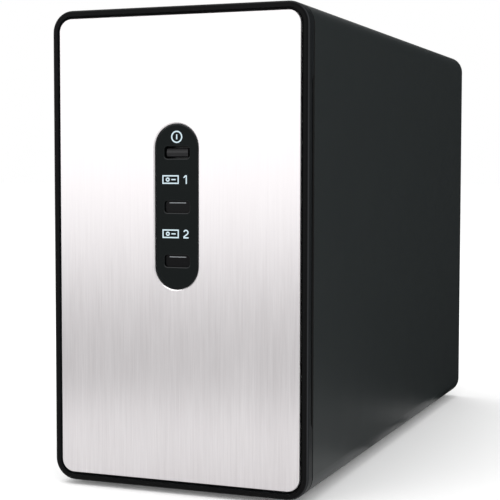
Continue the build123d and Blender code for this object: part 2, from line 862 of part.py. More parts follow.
for number, drive_x in enumerate((drive_1_x, drive_2_x), start=1):
    chamber_x = drive_x + cover_thickness
    drive_right = drive_x + drive_thickness
    card_x = drive_right - card_recess
    notch_x = drive_right - card_recess - plug_width

    # Cast body with a round chamber for the platters, a squarer one for the head arm, a recess for
    # the circuit board and a notch for its plug.
    with BuildPart() as casting:
        with BuildSketch(along(chamber_x)):
            with Locations((drive_mid_y, drive_mid_z)):
                RectangleRounded(drive_length, drive_width, drive_corner)
        extrude(amount=drive_thickness - cover_thickness)
        with BuildSketch(along(chamber_x)):
            with Locations((spindle_y, drive_mid_z)):
                Circle(platter_radius + chamber_gap)
            with Locations((arm_room_y, drive_mid_z)):
                RectangleRounded(arm_room_length, arm_room_height, drive_corner)
        extrude(amount=chamber_depth, mode=Mode.SUBTRACT)
        with BuildSketch(along(card_x)):
            with Locations((card_y, drive_mid_z)):
                RectangleRounded(card_length + sheet, card_height, drive_corner)
        extrude(amount=card_recess, mode=Mode.SUBTRACT)
        block(
            (notch_x, drive_back - plug_depth, plug_z - plug_height / 2 - sheet),
            (drive_right, drive_back, plug_z + plug_height / 2 + sheet),
            Mode.SUBTRACT,
        )
        hole_x = drive_right - drive_hole_height
        for hole_y in side_hole_ys:
            rod((hole_x, hole_y, drive_z), upwards, screw_radius, drive_screw_length, Mode.SUBTRACT)
            rod(
                (hole_x, hole_y, drive_top), downwards, screw_radius, drive_screw_length, Mode.SUBTRACT
            )
        rod(
            (chamber_x + chamber_depth, spindle_y, drive_mid_z),
            leftwards,
            bearing_radius + bearing_clearance + sheet,
            platter_pitch,
        )
        rod(
            (chamber_x + chamber_depth, spindle_y, drive_mid_z),
            leftwards,
            bearing_radius + bearing_clearance,
            platter_pitch,
            Mode.SUBTRACT,
        )
        rod(
            (chamber_x + chamber_depth, pivot_y, pivot_z),
            leftwards,
            2 * bearing_radius,
            chamber_depth - sheet,
        )
    save(casting, f"drive_{number}_casting")

    # Pressed cover that closes the chambers, with a raised disc over the platters.
    with BuildPart() as cover:
        with BuildSketch(along(drive_x + cover_thickness / 2)):
            with Locations((drive_mid_y, drive_mid_z)):
                RectangleRounded(drive_length - sheet, drive_width - sheet, drive_corner)
        extrude(amount=cover_thickness / 2)
        with BuildSketch(along(drive_x)):
            with Locations((spindle_y, drive_mid_z)):
                Circle(platter_radius - chamber_gap)
            with Locations((arm_room_y, drive_mid_z)):
                RectangleRounded(
                    arm_room_length - 2 * drive_corner,
                    arm_room_height - 2 * drive_corner,
                    2 * drive_corner,
                )
        extrude(amount=cover_thickness / 2)
    save(cover, f"drive_{number}_cover")

    # Two discs on a hub whose shaft turns in the casting.
    stack_x = chamber_x + 2 * sheet
    hub_end = chamber_x + chamber_depth - platter_pitch - sheet / 2
    with BuildPart() as platters:
        rod((stack_x, spindle_y, drive_mid_z), rightwards, hub_cap_radius, hub_end - stack_x)
        for place in platter_places:
            rod(
                (stack_x + place * platter_pitch, spindle_y, drive_mid_z),
                rightwards,
                platter_radius,
                platter_thickness,
            )
        rod(
            (hub_end, spindle_y, drive_mid_z),
            rightwards,
            bearing_radius,
            platter_pitch,
        )
    save(platters, f"drive_{number}_platters")

    # Three thin arms on a hub that turns on the casting's post, with a coil on the other side.
    arm_gap = (platter_pitch - platter_thickness - sheet) / 2
    arm_root = 5.0
    arm_tip = 1.2
    pivot_radius = 7.0
    coil_reach = 17.0
    coil_half = 9.0
    with BuildPart() as head_arm:
        rod((stack_x, pivot_y, pivot_z), rightwards, pivot_radius, stack_depth + sheet)
        arm_direction = (0, cos(radians(parked_angle)), sin(radians(parked_angle)))
        arm_frame = Plane(origin=(0, pivot_y, pivot_z), x_dir=arm_direction, z_dir=rightwards)
        for place in (-0.5, 0.5, 1.5):
            arm_x = stack_x + place * platter_pitch + platter_thickness + arm_gap
            if place < 0:
                arm_x = stack_x
            with BuildSketch(arm_frame.offset(arm_x)):
                with BuildLine():
                    Polyline(
                        (0, -arm_root), (arm_length, -arm_tip), (arm_length, arm_tip), (0, arm_root),
                        close=True,
                    )
                make_face()
            extrude(amount=sheet)
        with BuildSketch(arm_frame.offset(stack_x + platter_pitch)):
            with BuildLine():
                Polyline(
                    (0, -arm_root),
                    (-coil_reach, -coil_half),
                    (-coil_reach, coil_half),
                    (0, arm_root),
                    close=True,
                )
            make_face()
        extrude(amount=2 * sheet)
        rod(
            (stack_x, pivot_y, pivot_z),
            rightwards,
            2 * bearing_radius + bearing_clearance,
            stack_depth + 2 * sheet,
            Mode.SUBTRACT,
        )
    save(head_arm, f"drive_{number}_head_arm")

    # Circuit board in the recess, with the plug at its rear edge.
    with BuildPart() as card:
        with BuildSketch(along(card_x)):
            with Locations((card_y, drive_mid_z)):
                Rectangle(card_length - sheet, card_height - 2 * sheet)
        extrude(amount=card_thickness)
        block(
            (card_x - plug_width + edge_gap, drive_back - plug_depth + edge_gap, plug_z - plug_height / 2),
            (card_x, drive_back - plug_depth + 2 * sheet, plug_z + plug_height / 2),
        )
        tongue_x = card_x - plug_width / 2 - plug_tongue / 2
        block(
            (tongue_x, drive_back - plug_depth + sheet, plug_z - plug_height / 2 + 2 * sheet),
            (tongue_x + plug_tongue, drive_back - sheet, plug_z + plug_height / 2 - 2 * sheet),
        )
    save(card, f"drive_{number}_board")

    # Socket on the backplane that takes the drive's plug.
    with BuildPart() as drive_socket:
        block(
            (
                card_x - plug_width + 2 * edge_gap,
                drive_back - plug_depth + 2 * sheet + edge_gap,
                plug_z - plug_height / 2,
            ),
            (card_x - edge_gap, backplane_y, plug_z + plug_height / 2),
        )
        block(
            (
                tongue_x - edge_gap,
                drive_back - plug_depth + 2 * sheet + edge_gap,
                plug_z - plug_height / 2 + 2 * sheet - edge_gap,
            ),
            (
                tongue_x + plug_tongue + edge_gap,
                drive_back - sheet + edge_gap,
                plug_z + plug_height / 2 - 2 * sheet + edge_gap,
            ),
            Mode.SUBTRACT,
        )
    save(drive_socket, f"drive_{number}_socket")

# ---------------------------------------------------------------- sled: boards
riser_height = 46.0
riser_z = backplane_low + backplane_height / 2
riser_depth = 6.0
riser_grip = 5.0
backplane_back = backplane_y + board_thickness
backplane_left = cage_left + sheet + bay_clearance
air_slot_width = 12.0
air_slot_height = 70.0

# Board behind the drives, with two air slots, plugged by its right edge into the main board.
with BuildPart() as backplane:
    block(
        (backplane_left, backplane_y, backplane_low),
        (cage_right - sheet, backplane_back, backplane_low + backplane_height),
    )
    block(
        (cage_right - sheet, backplane_y, riser_z - riser_height / 2 + sheet),
        (board_x - sheet, backplane_back, riser_z + riser_height / 2 - sheet),
    )
    with BuildSketch(across(backplane_y)):
        with Locations(*[(x + drive_thickness / 3, riser_z) for x in (drive_1_x, drive_2_x)]):
            RectangleRounded(air_slot_width, air_slot_height, 2 * sheet)
    extrude(amount=-board_thickness, mode=Mode.SUBTRACT)
    for tab_z in backplane_screw_zs:
        rod(
            (backplane_screw_x, backplane_y, tab_z),
            backwards,
            screw_hole_radius,
            board_thickness,
            Mode.SUBTRACT,
        )
save(backplane, "backplane")

riser_front = backplane_y + board_thickness / 2 - riser_depth / 2
with BuildPart() as backplane_socket:
    block(
        (board_x - riser_grip + edge_gap, riser_front, riser_z - riser_height / 2),
        (board_x, riser_front + riser_depth, riser_z + riser_height / 2),
    )
    block(
        (board_x - riser_grip, backplane_y - edge_gap, riser_z - riser_height / 2 + sheet - edge_gap),
        (
            board_x - sheet + edge_gap,
            backplane_back + edge_gap,
            riser_z + riser_height / 2 - sheet + edge_gap,
        ),
        Mode.SUBTRACT,
    )
save(backplane_socket, "backplane_socket")

# Upright main board beside the cage; its front tongue plugs into the front board's socket.
board_back = rear_inner - sheet / 2
with BuildPart() as main_board:
    block((board_x, board_front, board_low), (board_face, board_back, board_top))
    block(
        (board_x, link_back - tongue_depth, strip_z - tongue_height / 2),
        (board_face, board_front, strip_z + tongue_height / 2),
    )
    for standoff_y, standoff_z in standoff_places:
        rod(
            (board_x, standoff_y, standoff_z),
            rightwards,
            screw_hole_radius,
            board_thickness,
            Mode.SUBTRACT,
        )
save(main_board, "main_board")

with BuildPart() as board_standoffs:
    for standoff_y, standoff_z in standoff_places:
        with BuildSketch(along(cage_right)):
            with Locations((standoff_y, standoff_z)):
                RegularPolygon(standoff_radius, 6)
                Circle(screw_radius, mode=Mode.SUBTRACT)
        extrude(amount=board_x - cage_right)
save(board_standoffs, "board_standoffs")

# Alike screws hold the main board to its standoffs and the backplane to the tray's tab.
with BuildPart() as board_screws:
    for standoff_y, standoff_z in standoff_places:
        screw(
            (board_face, standoff_y, standoff_z),
            leftwards,
            drive_screw_length,
            screw_radius - bearing_clearance,
        )
    for tab_z in backplane_screw_zs:
        screw(
            (backplane_screw_x, backplane_back, tab_z),
            forwards,
            cage_screw_length,
            screw_radius - bearing_clearance,
        )
save(board_screws, "board_screws")

# ---------------------------------------------------------------- sled: what the main board carries
chip_size = 24.0
chip_height = 1.8
sink_size = 38.0
sink_height = 12.0
sink_base = 2.5
fin_count = 9
fin_width = 1.2
sink_y = drive_back - 65.0
sink_z = board_low + 60.0
memory_width = 14.0
memory_height = 10.0
memory_depth = 1.2

with BuildPart() as processor:
    block(
        (board_face, sink_y - chip_size / 2, sink_z - chip_size / 2),
        (board_face + chip_height, sink_y + chip_size / 2, sink_z + chip_size / 2),
    )
save(processor, "processor")

# Finned heat sink on the processor.
sink_x = board_face + chip_height
with BuildPart() as heat_sink:
    block(
        (sink_x, sink_y - sink_size / 2, sink_z - sink_size / 2),
        (sink_x + sink_base, sink_y + sink_size / 2, sink_z + sink_size / 2),
    )
    with BuildSketch(along(sink_x + sink_base)):
        with Locations((sink_y, sink_z)):
            fin_pitch = (sink_size - fin_width) / (fin_count - 1)
            with GridLocations(0, fin_pitch, 1, fin_count):
                Rectangle(sink_size, fin_width)
    extrude(amount=sink_height - sink_base)
save(heat_sink, "heat_sink")

with BuildPart() as memory_chips:
    with BuildSketch(along(board_face)):
        with Locations((sink_y + sink_size, sink_z)):
            with GridLocations(0, 2 * memory_height, 1, 2):
                Rectangle(memory_width, memory_height)
    extrude(amount=memory_depth)
save(memory_chips, "memory_chips")

capacitor_radius = 4.0
capacitor_height = 11.5
with BuildPart() as capacitors:
    with BuildSketch(along(board_face)):
        with Locations((board_back - 3 * inlet_depth, inlet_z)):
            with GridLocations(3 * capacitor_radius, 3 * capacitor_radius, 2, 2):
                Circle(capacitor_radius)
    extrude(amount=capacitor_height)
save(capacitors, "capacitors")

cell_radius = 10.0
cell_thickness = 3.2
cell_y = board_front + 30.0
cell_z = board_low + 24.0
holder_wall = 1.5
with BuildPart() as cell_holder:
    rod((board_face, cell_y, cell_z), rightwards, cell_radius + holder_wall, cell_thickness)
    rod(
        (board_face + holder_wall / 2, cell_y, cell_z),
        rightwards,
        cell_radius + edge_gap,
        cell_thickness,
        Mode.SUBTRACT,
    )
save(cell_holder, "cell_holder")

with BuildPart() as coin_cell:
    rod((board_face + holder_wall / 2, cell_y, cell_z), rightwards, cell_radius, cell_thickness)
save(coin_cell, "coin_cell")

# ---------------------------------------------------------------- sled: rear sockets
socket_back = rear_face + sheet / 2
jack_mouth_width = 12.0
jack_mouth_height = 8.2
jack_mouth_depth = 14.0
jack_floor = 2.3
latch_width = 6.0
latch_height = 2.0

# Network jack: a metal can with a keyed mouth that opens backwards.
with BuildPart() as network_jack:
    block(
        (board_face, socket_back - jack_depth, jack_z - jack_width / 2),
        (board_face + jack_height, socket_back, jack_z + jack_width / 2),
    )
    with BuildSketch(across(socket_back)):
        with Locations((board_face + jack_floor, jack_z)):
            Rectangle(jack_mouth_height, jack_mouth_width, align=(Align.MIN, Align.CENTER))
        with Locations((board_face + jack_floor + jack_mouth_height, jack_z)):
            Rectangle(latch_height, latch_width, align=(Align.MIN, Align.CENTER))
    extrude(amount=jack_mouth_depth, mode=Mode.SUBTRACT)
save(network_jack, "network_jack")

usb_wall = 0.6
usb_floor = 1.3
usb_mouth_height = 4.8
usb_tongue = 1.8
usb_room = 9.0
for number, usb_z in enumerate(usb_heights, start=1):
    # Shell of sheet metal round a flat tongue.
    with BuildPart() as usb_port:
        block(
            (board_face, socket_back - usb_depth, usb_z - usb_width / 2),
            (board_face + usb_height, socket_back, usb_z + usb_width / 2),
        )
        with BuildSketch(across(socket_back)):
            with Locations((board_face + usb_floor, usb_z)):
                Rectangle(
                    usb_mouth_height, usb_width - 2 * usb_wall, align=(Align.MIN, Align.CENTER)
                )
        extrude(amount=usb_room, mode=Mode.SUBTRACT)
        block(
            (
                board_face + usb_floor + usb_mouth_height - usb_tongue - usb_wall,
                socket_back - usb_room,
                usb_z - usb_width / 2 + 2 * usb_wall,
            ),
            (
                board_face + usb_floor + usb_mouth_height - usb_wall,
                socket_back - sheet,
                usb_z + usb_width / 2 - 2 * usb_wall,
            ),
        )
    save(usb_port, f"usb_port_{number}")

inlet_bore_radius = 3.2
inlet_pin_radius = 1.05
inlet_room = 9.5
inlet_x = board_face + inlet_height / 2
with BuildPart() as power_inlet:
    block(
        (board_face, socket_back - inlet_depth, inlet_z - inlet_width / 2),
        (board_face + inlet_height, socket_back, inlet_z + inlet_width / 2),
    )
    rod((inlet_x, socket_back, inlet_z), forwards, inlet_bore_radius, inlet_room, Mode.SUBTRACT)
    rod((inlet_x, socket_back - inlet_room, inlet_z), backwards, inlet_pin_radius, inlet_room - sheet)
save(power_inlet, "power_inlet")

# Reset button behind its hole, sliding in a side-facing switch.
reset_travel = 0.8
reset_body = 6.0
reset_depth = 6.0
reset_body_back = rear_inner - 2 * sheet
reset_end = rear_inner - sheet / 2
with BuildPart() as reset_switch:
    block(
        (board_face, reset_body_back - reset_depth, reset_z - reset_body / 2),
        (board_face + reset_rise + reset_body / 2, reset_body_back, reset_z + reset_body / 2),
    )
    rod(
        (reset_x, reset_body_back, reset_z),
        forwards,
        reset_radius + bearing_clearance,
        reset_depth - sheet,
        Mode.SUBTRACT,
    )
save(reset_switch, "reset_switch")

with BuildPart() as reset_button:
    rod(
        (reset_x, reset_end, reset_z),
        forwards,
        reset_radius,
        reset_end - reset_body_back + reset_depth - sheet - reset_travel - 2 * edge_gap,
    )
save(reset_button, "reset_button")

# ---------------------------------------------------------------- sled: fan
fan_corner = 4.0
strut_width = 3.0
motor_depth = 2.0
strut_count = 4
shaft_length = 7.0
rotor_front = fan_front + sheet
rotor_depth = fan_depth - motor_depth - 2 * sheet
bearing_tube_radius = 3.0

# Square frame with a round duct, corner screw holes, and struts at the rear that carry the bearing.
with BuildPart() as fan_frame:
    with BuildSketch(across(rear_inner)):
        with Locations((fan_x, fan_z)):
            RectangleRounded(fan_size, fan_size, fan_corner)
            Circle(fan_bore_radius, mode=Mode.SUBTRACT)
        with Locations(*fan_holes):
            Circle(fan_hole_radius, mode=Mode.SUBTRACT)
    extrude(amount=fan_depth)
    with BuildSketch(across(rear_inner)):
        with Locations((fan_x, fan_z)):
            Circle(hub_radius)
            with PolarLocations(0, strut_count):
                with Locations((fan_bore_radius / 2, 0)):
                    Rectangle(fan_bore_radius + sheet, strut_width)
    extrude(amount=motor_depth)
    rod((fan_x, rear_inner, fan_z), forwards, bearing_tube_radius, motor_depth + shaft_length)
    rod(
        (fan_x, rear_inner - sheet, fan_z),
        forwards,
        bearing_radius + bearing_clearance,
        motor_depth + shaft_length,
        Mode.SUBTRACT,
    )
save(fan_frame, "fan_frame")

# One twisted blade, standing on the hub at the top of the fan's own frame.
blade_root = 11.0
blade_tip = 17.0
blade_thickness = 1.2
blade_root_angle = 48
blade_tip_angle = 28
blade_start = hub_radius - 2 * sheet
blade_end = fan_bore_radius - blade_gap - sheet
blade_mid = rotor_depth / 2
with BuildPart() as fan_blade:
    with BuildSketch(Plane(origin=(blade_start, 0, blade_mid), x_dir=(0, 1, 0), z_dir=(1, 0, 0))):
        Rectangle(blade_root, blade_thickness, rotation=blade_root_angle)
    with BuildSketch(Plane(origin=(blade_end, 0, blade_mid), x_dir=(0, 1, 0), z_dir=(1, 0, 0))):
        Rectangle(blade_tip, blade_thickness, rotation=blade_tip_angle)
    loft()

# Cup-shaped hub with seven blades, on a shaft that runs in the frame's bearing.
rotor_centre = (fan_x, rotor_front, fan_z)
with BuildPart() as fan_rotor:
    rod(rotor_centre, backwards, hub_radius, rotor_depth)
    rod(
        (fan_x, rotor_front + 2 * sheet, fan_z),
        backwards,
        hub_radius - sheet,
        rotor_depth,
        Mode.SUBTRACT,
    )
    rod(rotor_centre, backwards, bearing_radius, fan_depth - 3 * sheet)
    with Locations(Plane(origin=rotor_centre, x_dir=rightwards, z_dir=backwards)):
        with PolarLocations(0, blade_count):
            add(fan_blade.part)
save(fan_rotor, "fan_rotor")

fan_screw_length = 10.0
fan_screw_head = 3.6
with BuildPart() as fan_screws:
    for fan_hole_x, fan_hole_z in fan_holes:
        screw(
            (fan_hole_x, rear_face, fan_hole_z),
            forwards,
            fan_screw_length,
            fan_screw_radius,
            fan_screw_head,
        )
save(fan_screws, "fan_screws")

# Fan lead, from the frame's front face round to the header on the main board's inner face.
lead_radius = 1.1
header_size = 6.0
header_length = 7.5
header_y = fan_front - 18.0
header_z = fan_z + fan_size / 2 + 10.0
header_x = board_x - header_length
lead_x = fan_x + 10.0
lead_z = fan_z + fan_size / 2 - 1.5
lead_points = [
    (lead_x, fan_front, lead_z),
    (lead_x, header_y + 2.5, lead_z),
    (lead_x + 8.0, header_y, header_z),
    (header_x, header_y, header_z),
]
lead_bend_share = 0.45


def bend_radius(before, corner, after):
    """Largest arc that fits a corner between two runs, as a share of the shorter one."""
    run_in = Vector(*corner) - Vector(*before)
    run_out = Vector(*after) - Vector(*corner)
    half_turn = radians(run_in.get_angle(run_out)) / 2
    return lead_bend_share * min(run_in.length, run_out.length) / tan(half_turn)


lead_radii = [
    bend_radius(*lead_points[step : step + 3]) for step in range(len(lead_points) - 2)
]
print("fan lead bends:", [round(radius, 1) for radius in lead_radii])
with BuildPart() as fan_lead:
    with BuildLine() as lead_path:
        FilletPolyline(*lead_points, radius=lead_radii)
    with BuildSketch(Plane(origin=lead_path.line @ 0, z_dir=lead_path.line % 0)):
        Circle(lead_radius)
    sweep()
save(fan_lead, "fan_lead")

with BuildPart() as fan_header:
    block(
        (header_x, header_y - header_size / 2, header_z - header_size / 2),
        (board_x, header_y + header_size / 2, header_z + header_size / 2),
    )
save(fan_header, "fan_header")
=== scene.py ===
import math

import bmesh
import bpy
import numpy as np
from mathutils import Matrix, Vector


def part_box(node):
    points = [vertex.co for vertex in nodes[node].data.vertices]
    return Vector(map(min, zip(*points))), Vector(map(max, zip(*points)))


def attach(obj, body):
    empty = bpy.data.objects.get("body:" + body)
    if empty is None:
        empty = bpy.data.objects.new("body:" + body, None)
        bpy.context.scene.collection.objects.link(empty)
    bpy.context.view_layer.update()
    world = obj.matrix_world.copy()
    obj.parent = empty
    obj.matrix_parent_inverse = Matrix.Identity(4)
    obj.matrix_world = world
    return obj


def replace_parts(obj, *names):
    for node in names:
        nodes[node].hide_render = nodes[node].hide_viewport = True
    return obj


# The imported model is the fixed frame: every size and place below comes from its nodes, in metres.
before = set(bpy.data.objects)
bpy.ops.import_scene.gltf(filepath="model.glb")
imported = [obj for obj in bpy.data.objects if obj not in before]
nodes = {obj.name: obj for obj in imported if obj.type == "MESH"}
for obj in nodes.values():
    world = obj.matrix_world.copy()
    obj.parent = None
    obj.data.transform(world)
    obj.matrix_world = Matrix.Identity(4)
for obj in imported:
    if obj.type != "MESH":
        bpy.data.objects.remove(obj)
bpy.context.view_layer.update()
MM = 0.001


# ---------------------------------------------------------------- shell
# An aluminium tube of rounded rectangular section, sawn off square at both ends and coated satin
# black. The bezel plugs its front; the rear panel closes its back and is held by two thumbscrews.
class Wire:
    """A shader socket that takes arithmetic: each operator adds a Math node."""

    def __init__(self, tree, socket):
        self.tree = tree
        self.socket = socket

    def join(self, operation, *others):
        maths = self.tree.nodes.new("ShaderNodeMath")
        maths.operation = operation
        for slot, value in zip(maths.inputs, others):
            if isinstance(value, Wire):
                self.tree.links.new(value.socket, slot)
            else:
                slot.default_value = value
        return Wire(self.tree, maths.outputs[0])

    def __add__(self, other):
        return self.join("ADD", self, other)

    def __radd__(self, other):
        return self.join("ADD", other, self)

    def __sub__(self, other):
        return self.join("SUBTRACT", self, other)

    def __rsub__(self, other):
        return self.join("SUBTRACT", other, self)

    def __mul__(self, other):
        return self.join("MULTIPLY", self, other)

    def __rmul__(self, other):
        return self.join("MULTIPLY", other, self)

    def clipped(self, low, high):
        return self.join("MINIMUM", self.join("MAXIMUM", self, low), high)

    def size(self):
        return self.join("ABSOLUTE", self)


class Finish:
    """One surface finish: a Principled shader and the nodes that vary it over the surface."""

    def __init__(self, name, colour, rough, metal=0.0, **constants):
        self.material = bpy.data.materials.new(name)
        self.material.use_nodes = True
        self.tree = self.material.node_tree
        self.shader = self.tree.nodes["Principled BSDF"]
        self.shader.inputs["Base Color"].default_value = (*colour, 1)
        self.shader.inputs["Roughness"].default_value = rough
        self.shader.inputs["Metallic"].default_value = metal
        for socket, value in constants.items():
            self.shader.inputs[socket.replace("_", " ")].default_value = value
        self.colour = colour

    def node(self, kind, settings=None, out=0, **values):
        """Adds a node: its settings are set first, then its sockets get values or links."""
        made = self.tree.nodes.new("ShaderNode" + kind)
        for key, value in (settings or {}).items():
            setattr(made, key, value)
        for key, value in values.items():
            slot = made.inputs[key.replace("_", " ")]
            if isinstance(value, Wire):
                self.tree.links.new(value.socket, slot)
            else:
                slot.default_value = value
        return Wire(self.tree, made.outputs[out])

    def place(self, scale=(1, 1, 1)):
        """Object coordinates, stretched by a scale along each axis."""
        here = self.node("TexCoord", out="Object")
        return self.node("Mapping", Vector=here, Scale=scale)

    def noise(self, size, stretch=(1, 1, 1), detail=3.0, rough=0.5):
        """Noise from 0 to 1 whose features are this many metres across, stretched along axes."""
        spot = self.place(tuple(1 / (size * s) for s in stretch))
        return self.node("TexNoise", Vector=spot, Scale=1.0, Detail=detail, Roughness=rough)

    def mix(self, factor, first, second):
        """Blends two colours, each a colour or a wire."""
        made = self.tree.nodes.new("ShaderNodeMix")
        made.data_type = "RGBA"
        for index, value in ((0, factor), (6, first), (7, second)):
            if isinstance(value, Wire):
                self.tree.links.new(value.socket, made.inputs[index])
            elif index:
                made.inputs[index].default_value = (*value, 1)
            else:
                made.inputs[index].default_value = value
        return Wire(self.tree, made.outputs[2])

    def feed(self, socket, wire):
        self.tree.links.new(wire.socket, self.shader.inputs[socket])

    def bump(self, height, depth, strength=1.0):
        """Raises the surface by up to a depth in metres where the height wire is 1."""
        raised = self.node("Bump", Height=height, Distance=depth, Strength=strength)
        self.feed("Normal", raised)

    def normal(self, axis):
        """How much of the surface's normal lies along an axis, from -1 to 1."""
        return self.node("SeparateXYZ", out=axis, Vector=self.node("NewGeometry", out="Normal"))

    def facing(self, axis, middle, width):
        """1 where the surface's normal has this much of an axis, falling to 0 a width away."""
        return (1 - (self.normal(axis).size() - middle).size() * (1 / width)).clipped(0, 1)

    def grained(self, size, depth, spread, tint=0.0):
        """Moulded or coated grain: fine bump, with roughness and colour that vary with it. With
        a tint of None, the base colour is left for other nodes."""
        grain = self.noise(size, detail=2.0)
        cloud = self.noise(size * 60, detail=2.0)
        rough = self.shader.inputs["Roughness"].default_value
        self.feed("Roughness", (rough + spread * (cloud - 0.5)).clipped(0.05, 1.0))
        if tint is not None:
            lighter = tuple(min(1.0, c * (1 + tint) + tint * 0.02) for c in self.colour)
            darker = tuple(c * (1 - tint) for c in self.colour)
            self.feed("Base Color", self.mix((grain + cloud) * 0.5, darker, lighter))
        self.bump(grain, depth)
        return self

    def paint(self, *names):
        """Puts this finish on CAD nodes."""
        for name in names:
            nodes[name].data.materials.clear()
            nodes[name].data.materials.append(self.material)
        return self


coat_black = (0.0205, 0.0245, 0.025)
# Near black for the seams: painted shade where the shell and the bezel meet.
painted_seam_shade = (0.0006, 0.0006, 0.0006)
shell_paint = Finish("shell_paint", coat_black, 0.42, Specular_IOR_Level=0.15)
shell_paint.grained(0.00035, 0.000012, 0.08, tint=None).paint("shell")
# The shell's faces turned to the front, its front end and the chamfer on its front rim in the seam
# behind the bezel, are painted near black: painted shade in the seam.
front_painted_shade = (-3.0 * shell_paint.normal("Y") - 1.0).clipped(0, 1)
coat_grain = 0.9 + 0.2 * shell_paint.noise(0.00035)
shell_paint.feed("Base Color", shell_paint.mix((1 - front_painted_shade) * coat_grain, painted_seam_shade, coat_black))

# ---------------------------------------------------------------- feet
# Four soft rubber pads pressed into round pockets under the shell, dished so that they grip.
def grid_faces(rows, columns, wrap, start=0):
    """Four-sided faces that join the points of a grid; its columns may wrap round."""
    index = start + np.arange(rows * columns).reshape(rows, columns)
    if wrap:
        index = np.concatenate([index, index[:, :1]], axis=1)
    corners = [index[:-1, :-1], index[:-1, 1:], index[1:, 1:], index[1:, :-1]]
    return np.stack(corners, -1).reshape(-1, 4)


def surface(name, grid, finish, body=None, wrap=False, slot=None):
    """Makes a piece from a grid of points, rows by columns."""
    faces = grid_faces(*grid.shape[:2], wrap)
    return solid(name, grid.reshape(-1, 3), faces, finish, body, slot)


def surfaces(name, grids, finish, body, slot):
    """Makes one piece from several grids whose columns wrap round."""
    points, faces, start = [], [], 0
    for grid in grids:
        rows, columns = grid.shape[:2]
        faces.append(grid_faces(rows, columns, True, start))
        points.append(grid.reshape(-1, 3))
        start += rows * columns
    return solid(name, np.concatenate(points), np.concatenate(faces), finish, body, slot)


def solid(name, points, faces, finish, body=None, slot=None):
    """Makes a piece from points and faces, merges its doubled points and turns its faces out."""
    mesh = bpy.data.meshes.new(name)
    mesh.from_pydata(points.tolist(), [], faces.tolist())
    work = bmesh.new()
    work.from_mesh(mesh)
    bmesh.ops.remove_doubles(work, verts=work.verts, dist=1e-7)
    bmesh.ops.recalc_face_normals(work, faces=work.faces)
    work.to_mesh(mesh)
    work.free()
    mesh.shade_smooth()
    mesh.set_sharp_from_angle(angle=math.radians(32))
    piece = bpy.data.objects.new(name, mesh)
    bpy.context.scene.collection.objects.link(piece)
    mesh.materials.append(finish.material)
    if body:
        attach(piece, body)
    return piece


def turned(profile, count, middle, along):
    """A profile of (radius, distance) points turned about an axis through a point: each point goes
    to middle + radius (cos a, sin a) across the axis + distance along it, for angles a round it."""
    profile = np.array(profile, float)
    angles = np.linspace(0, 2 * np.pi, count, endpoint=False)
    axis = np.array(along, float)
    first = np.cross(axis, [0.3, 0.5, 0.81])
    first /= np.linalg.norm(first)
    second = np.cross(axis, first)
    spokes = np.cos(angles)[:, None] * first + np.sin(angles)[:, None] * second
    return (
        np.array(middle)
        + profile[:, 0, None, None] * spokes[None]
        + (profile[:, 1, None] * axis)[:, None, :]
    )


foot_rubber = Finish("foot_rubber", (0.022, 0.022, 0.023), 0.78)
foot_rubber.grained(0.0004, 0.00002, 0.1, tint=0.1)
for corner in ("front_left", "front_right", "rear_left", "rear_right"):
    low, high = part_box(f"foot_{corner}")
    radius = (high.x - low.x) / 2
    tall = high.z - low.z
    outline = [
        (0.0, 0.35 * MM),
        (radius * 0.55, 0.35 * MM),
        (radius * 0.68, 0.05 * MM),
        (radius * 0.74, 0.0),
        (radius - 0.5 * MM, 0.0),
        (radius - 0.15 * MM, 0.15 * MM),
        (radius, 0.5 * MM),
        (radius, tall),
        (0.0, tall),
    ]
    middle = ((low.x + high.x) / 2, (low.y + high.y) / 2, low.z)
    dished = turned(outline, 48, middle, (0, 0, 1))
    pad = surface(f"pad_{corner}", dished, foot_rubber, "case", True, "foot_rubber")
    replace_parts(pad, f"foot_{corner}")

# ---------------------------------------------------------------- bezel
# One black moulding, finely spark-textured, clipped into the shell's mouth and held by two
# countersunk screws from below.
bezel_plastic = Finish("bezel_plastic", (0.0045, 0.0045, 0.0048), 0.38, Specular_IOR_Level=0.045)
bezel_plastic.grained(0.0003, 0.00001, 0.08, tint=None).paint("bezel")
# The bezel's colour is painted by which way its faces turn: its front faces darker and its outer
# sides lighter, as painted light and shade.
outer_side = ((0.7 - bezel_plastic.normal("Y").size()) * 3.0).clipped(0, 1)
side_painted_light = bezel_plastic.mix(outer_side, (0.003, 0.003, 0.0032), (0.012, 0.0135, 0.0145))
# A lighter colour along the rounded front edge, where it turns towards +X, is a painted highlight.
edge_painted_highlight = bezel_plastic.facing("Y", 0.66, 0.2) * bezel_plastic.normal("X").clipped(0.03, 1)
lit_tone = bezel_plastic.mix(edge_painted_highlight, side_painted_light, (0.05, 0.052, 0.056))
# The bezel's faces turned to the back, in the seam against the shell, are painted near black:
# painted shade in the seam.
rear_painted_shade = (3.0 * bezel_plastic.normal("Y") - 1.0).clipped(0, 1)
bezel_plastic.feed("Base Color", bezel_plastic.mix(rear_painted_shade, lit_tone, painted_seam_shade))
black_steel = Finish("black_steel", (0.02, 0.02, 0.021), 0.38, metal=0.6)
black_steel.grained(0.0002, 0.000004, 0.1)


def box_mm(node):
    """The low and high corners of a CAD node, in millimetres."""
    return tuple(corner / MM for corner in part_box(node))


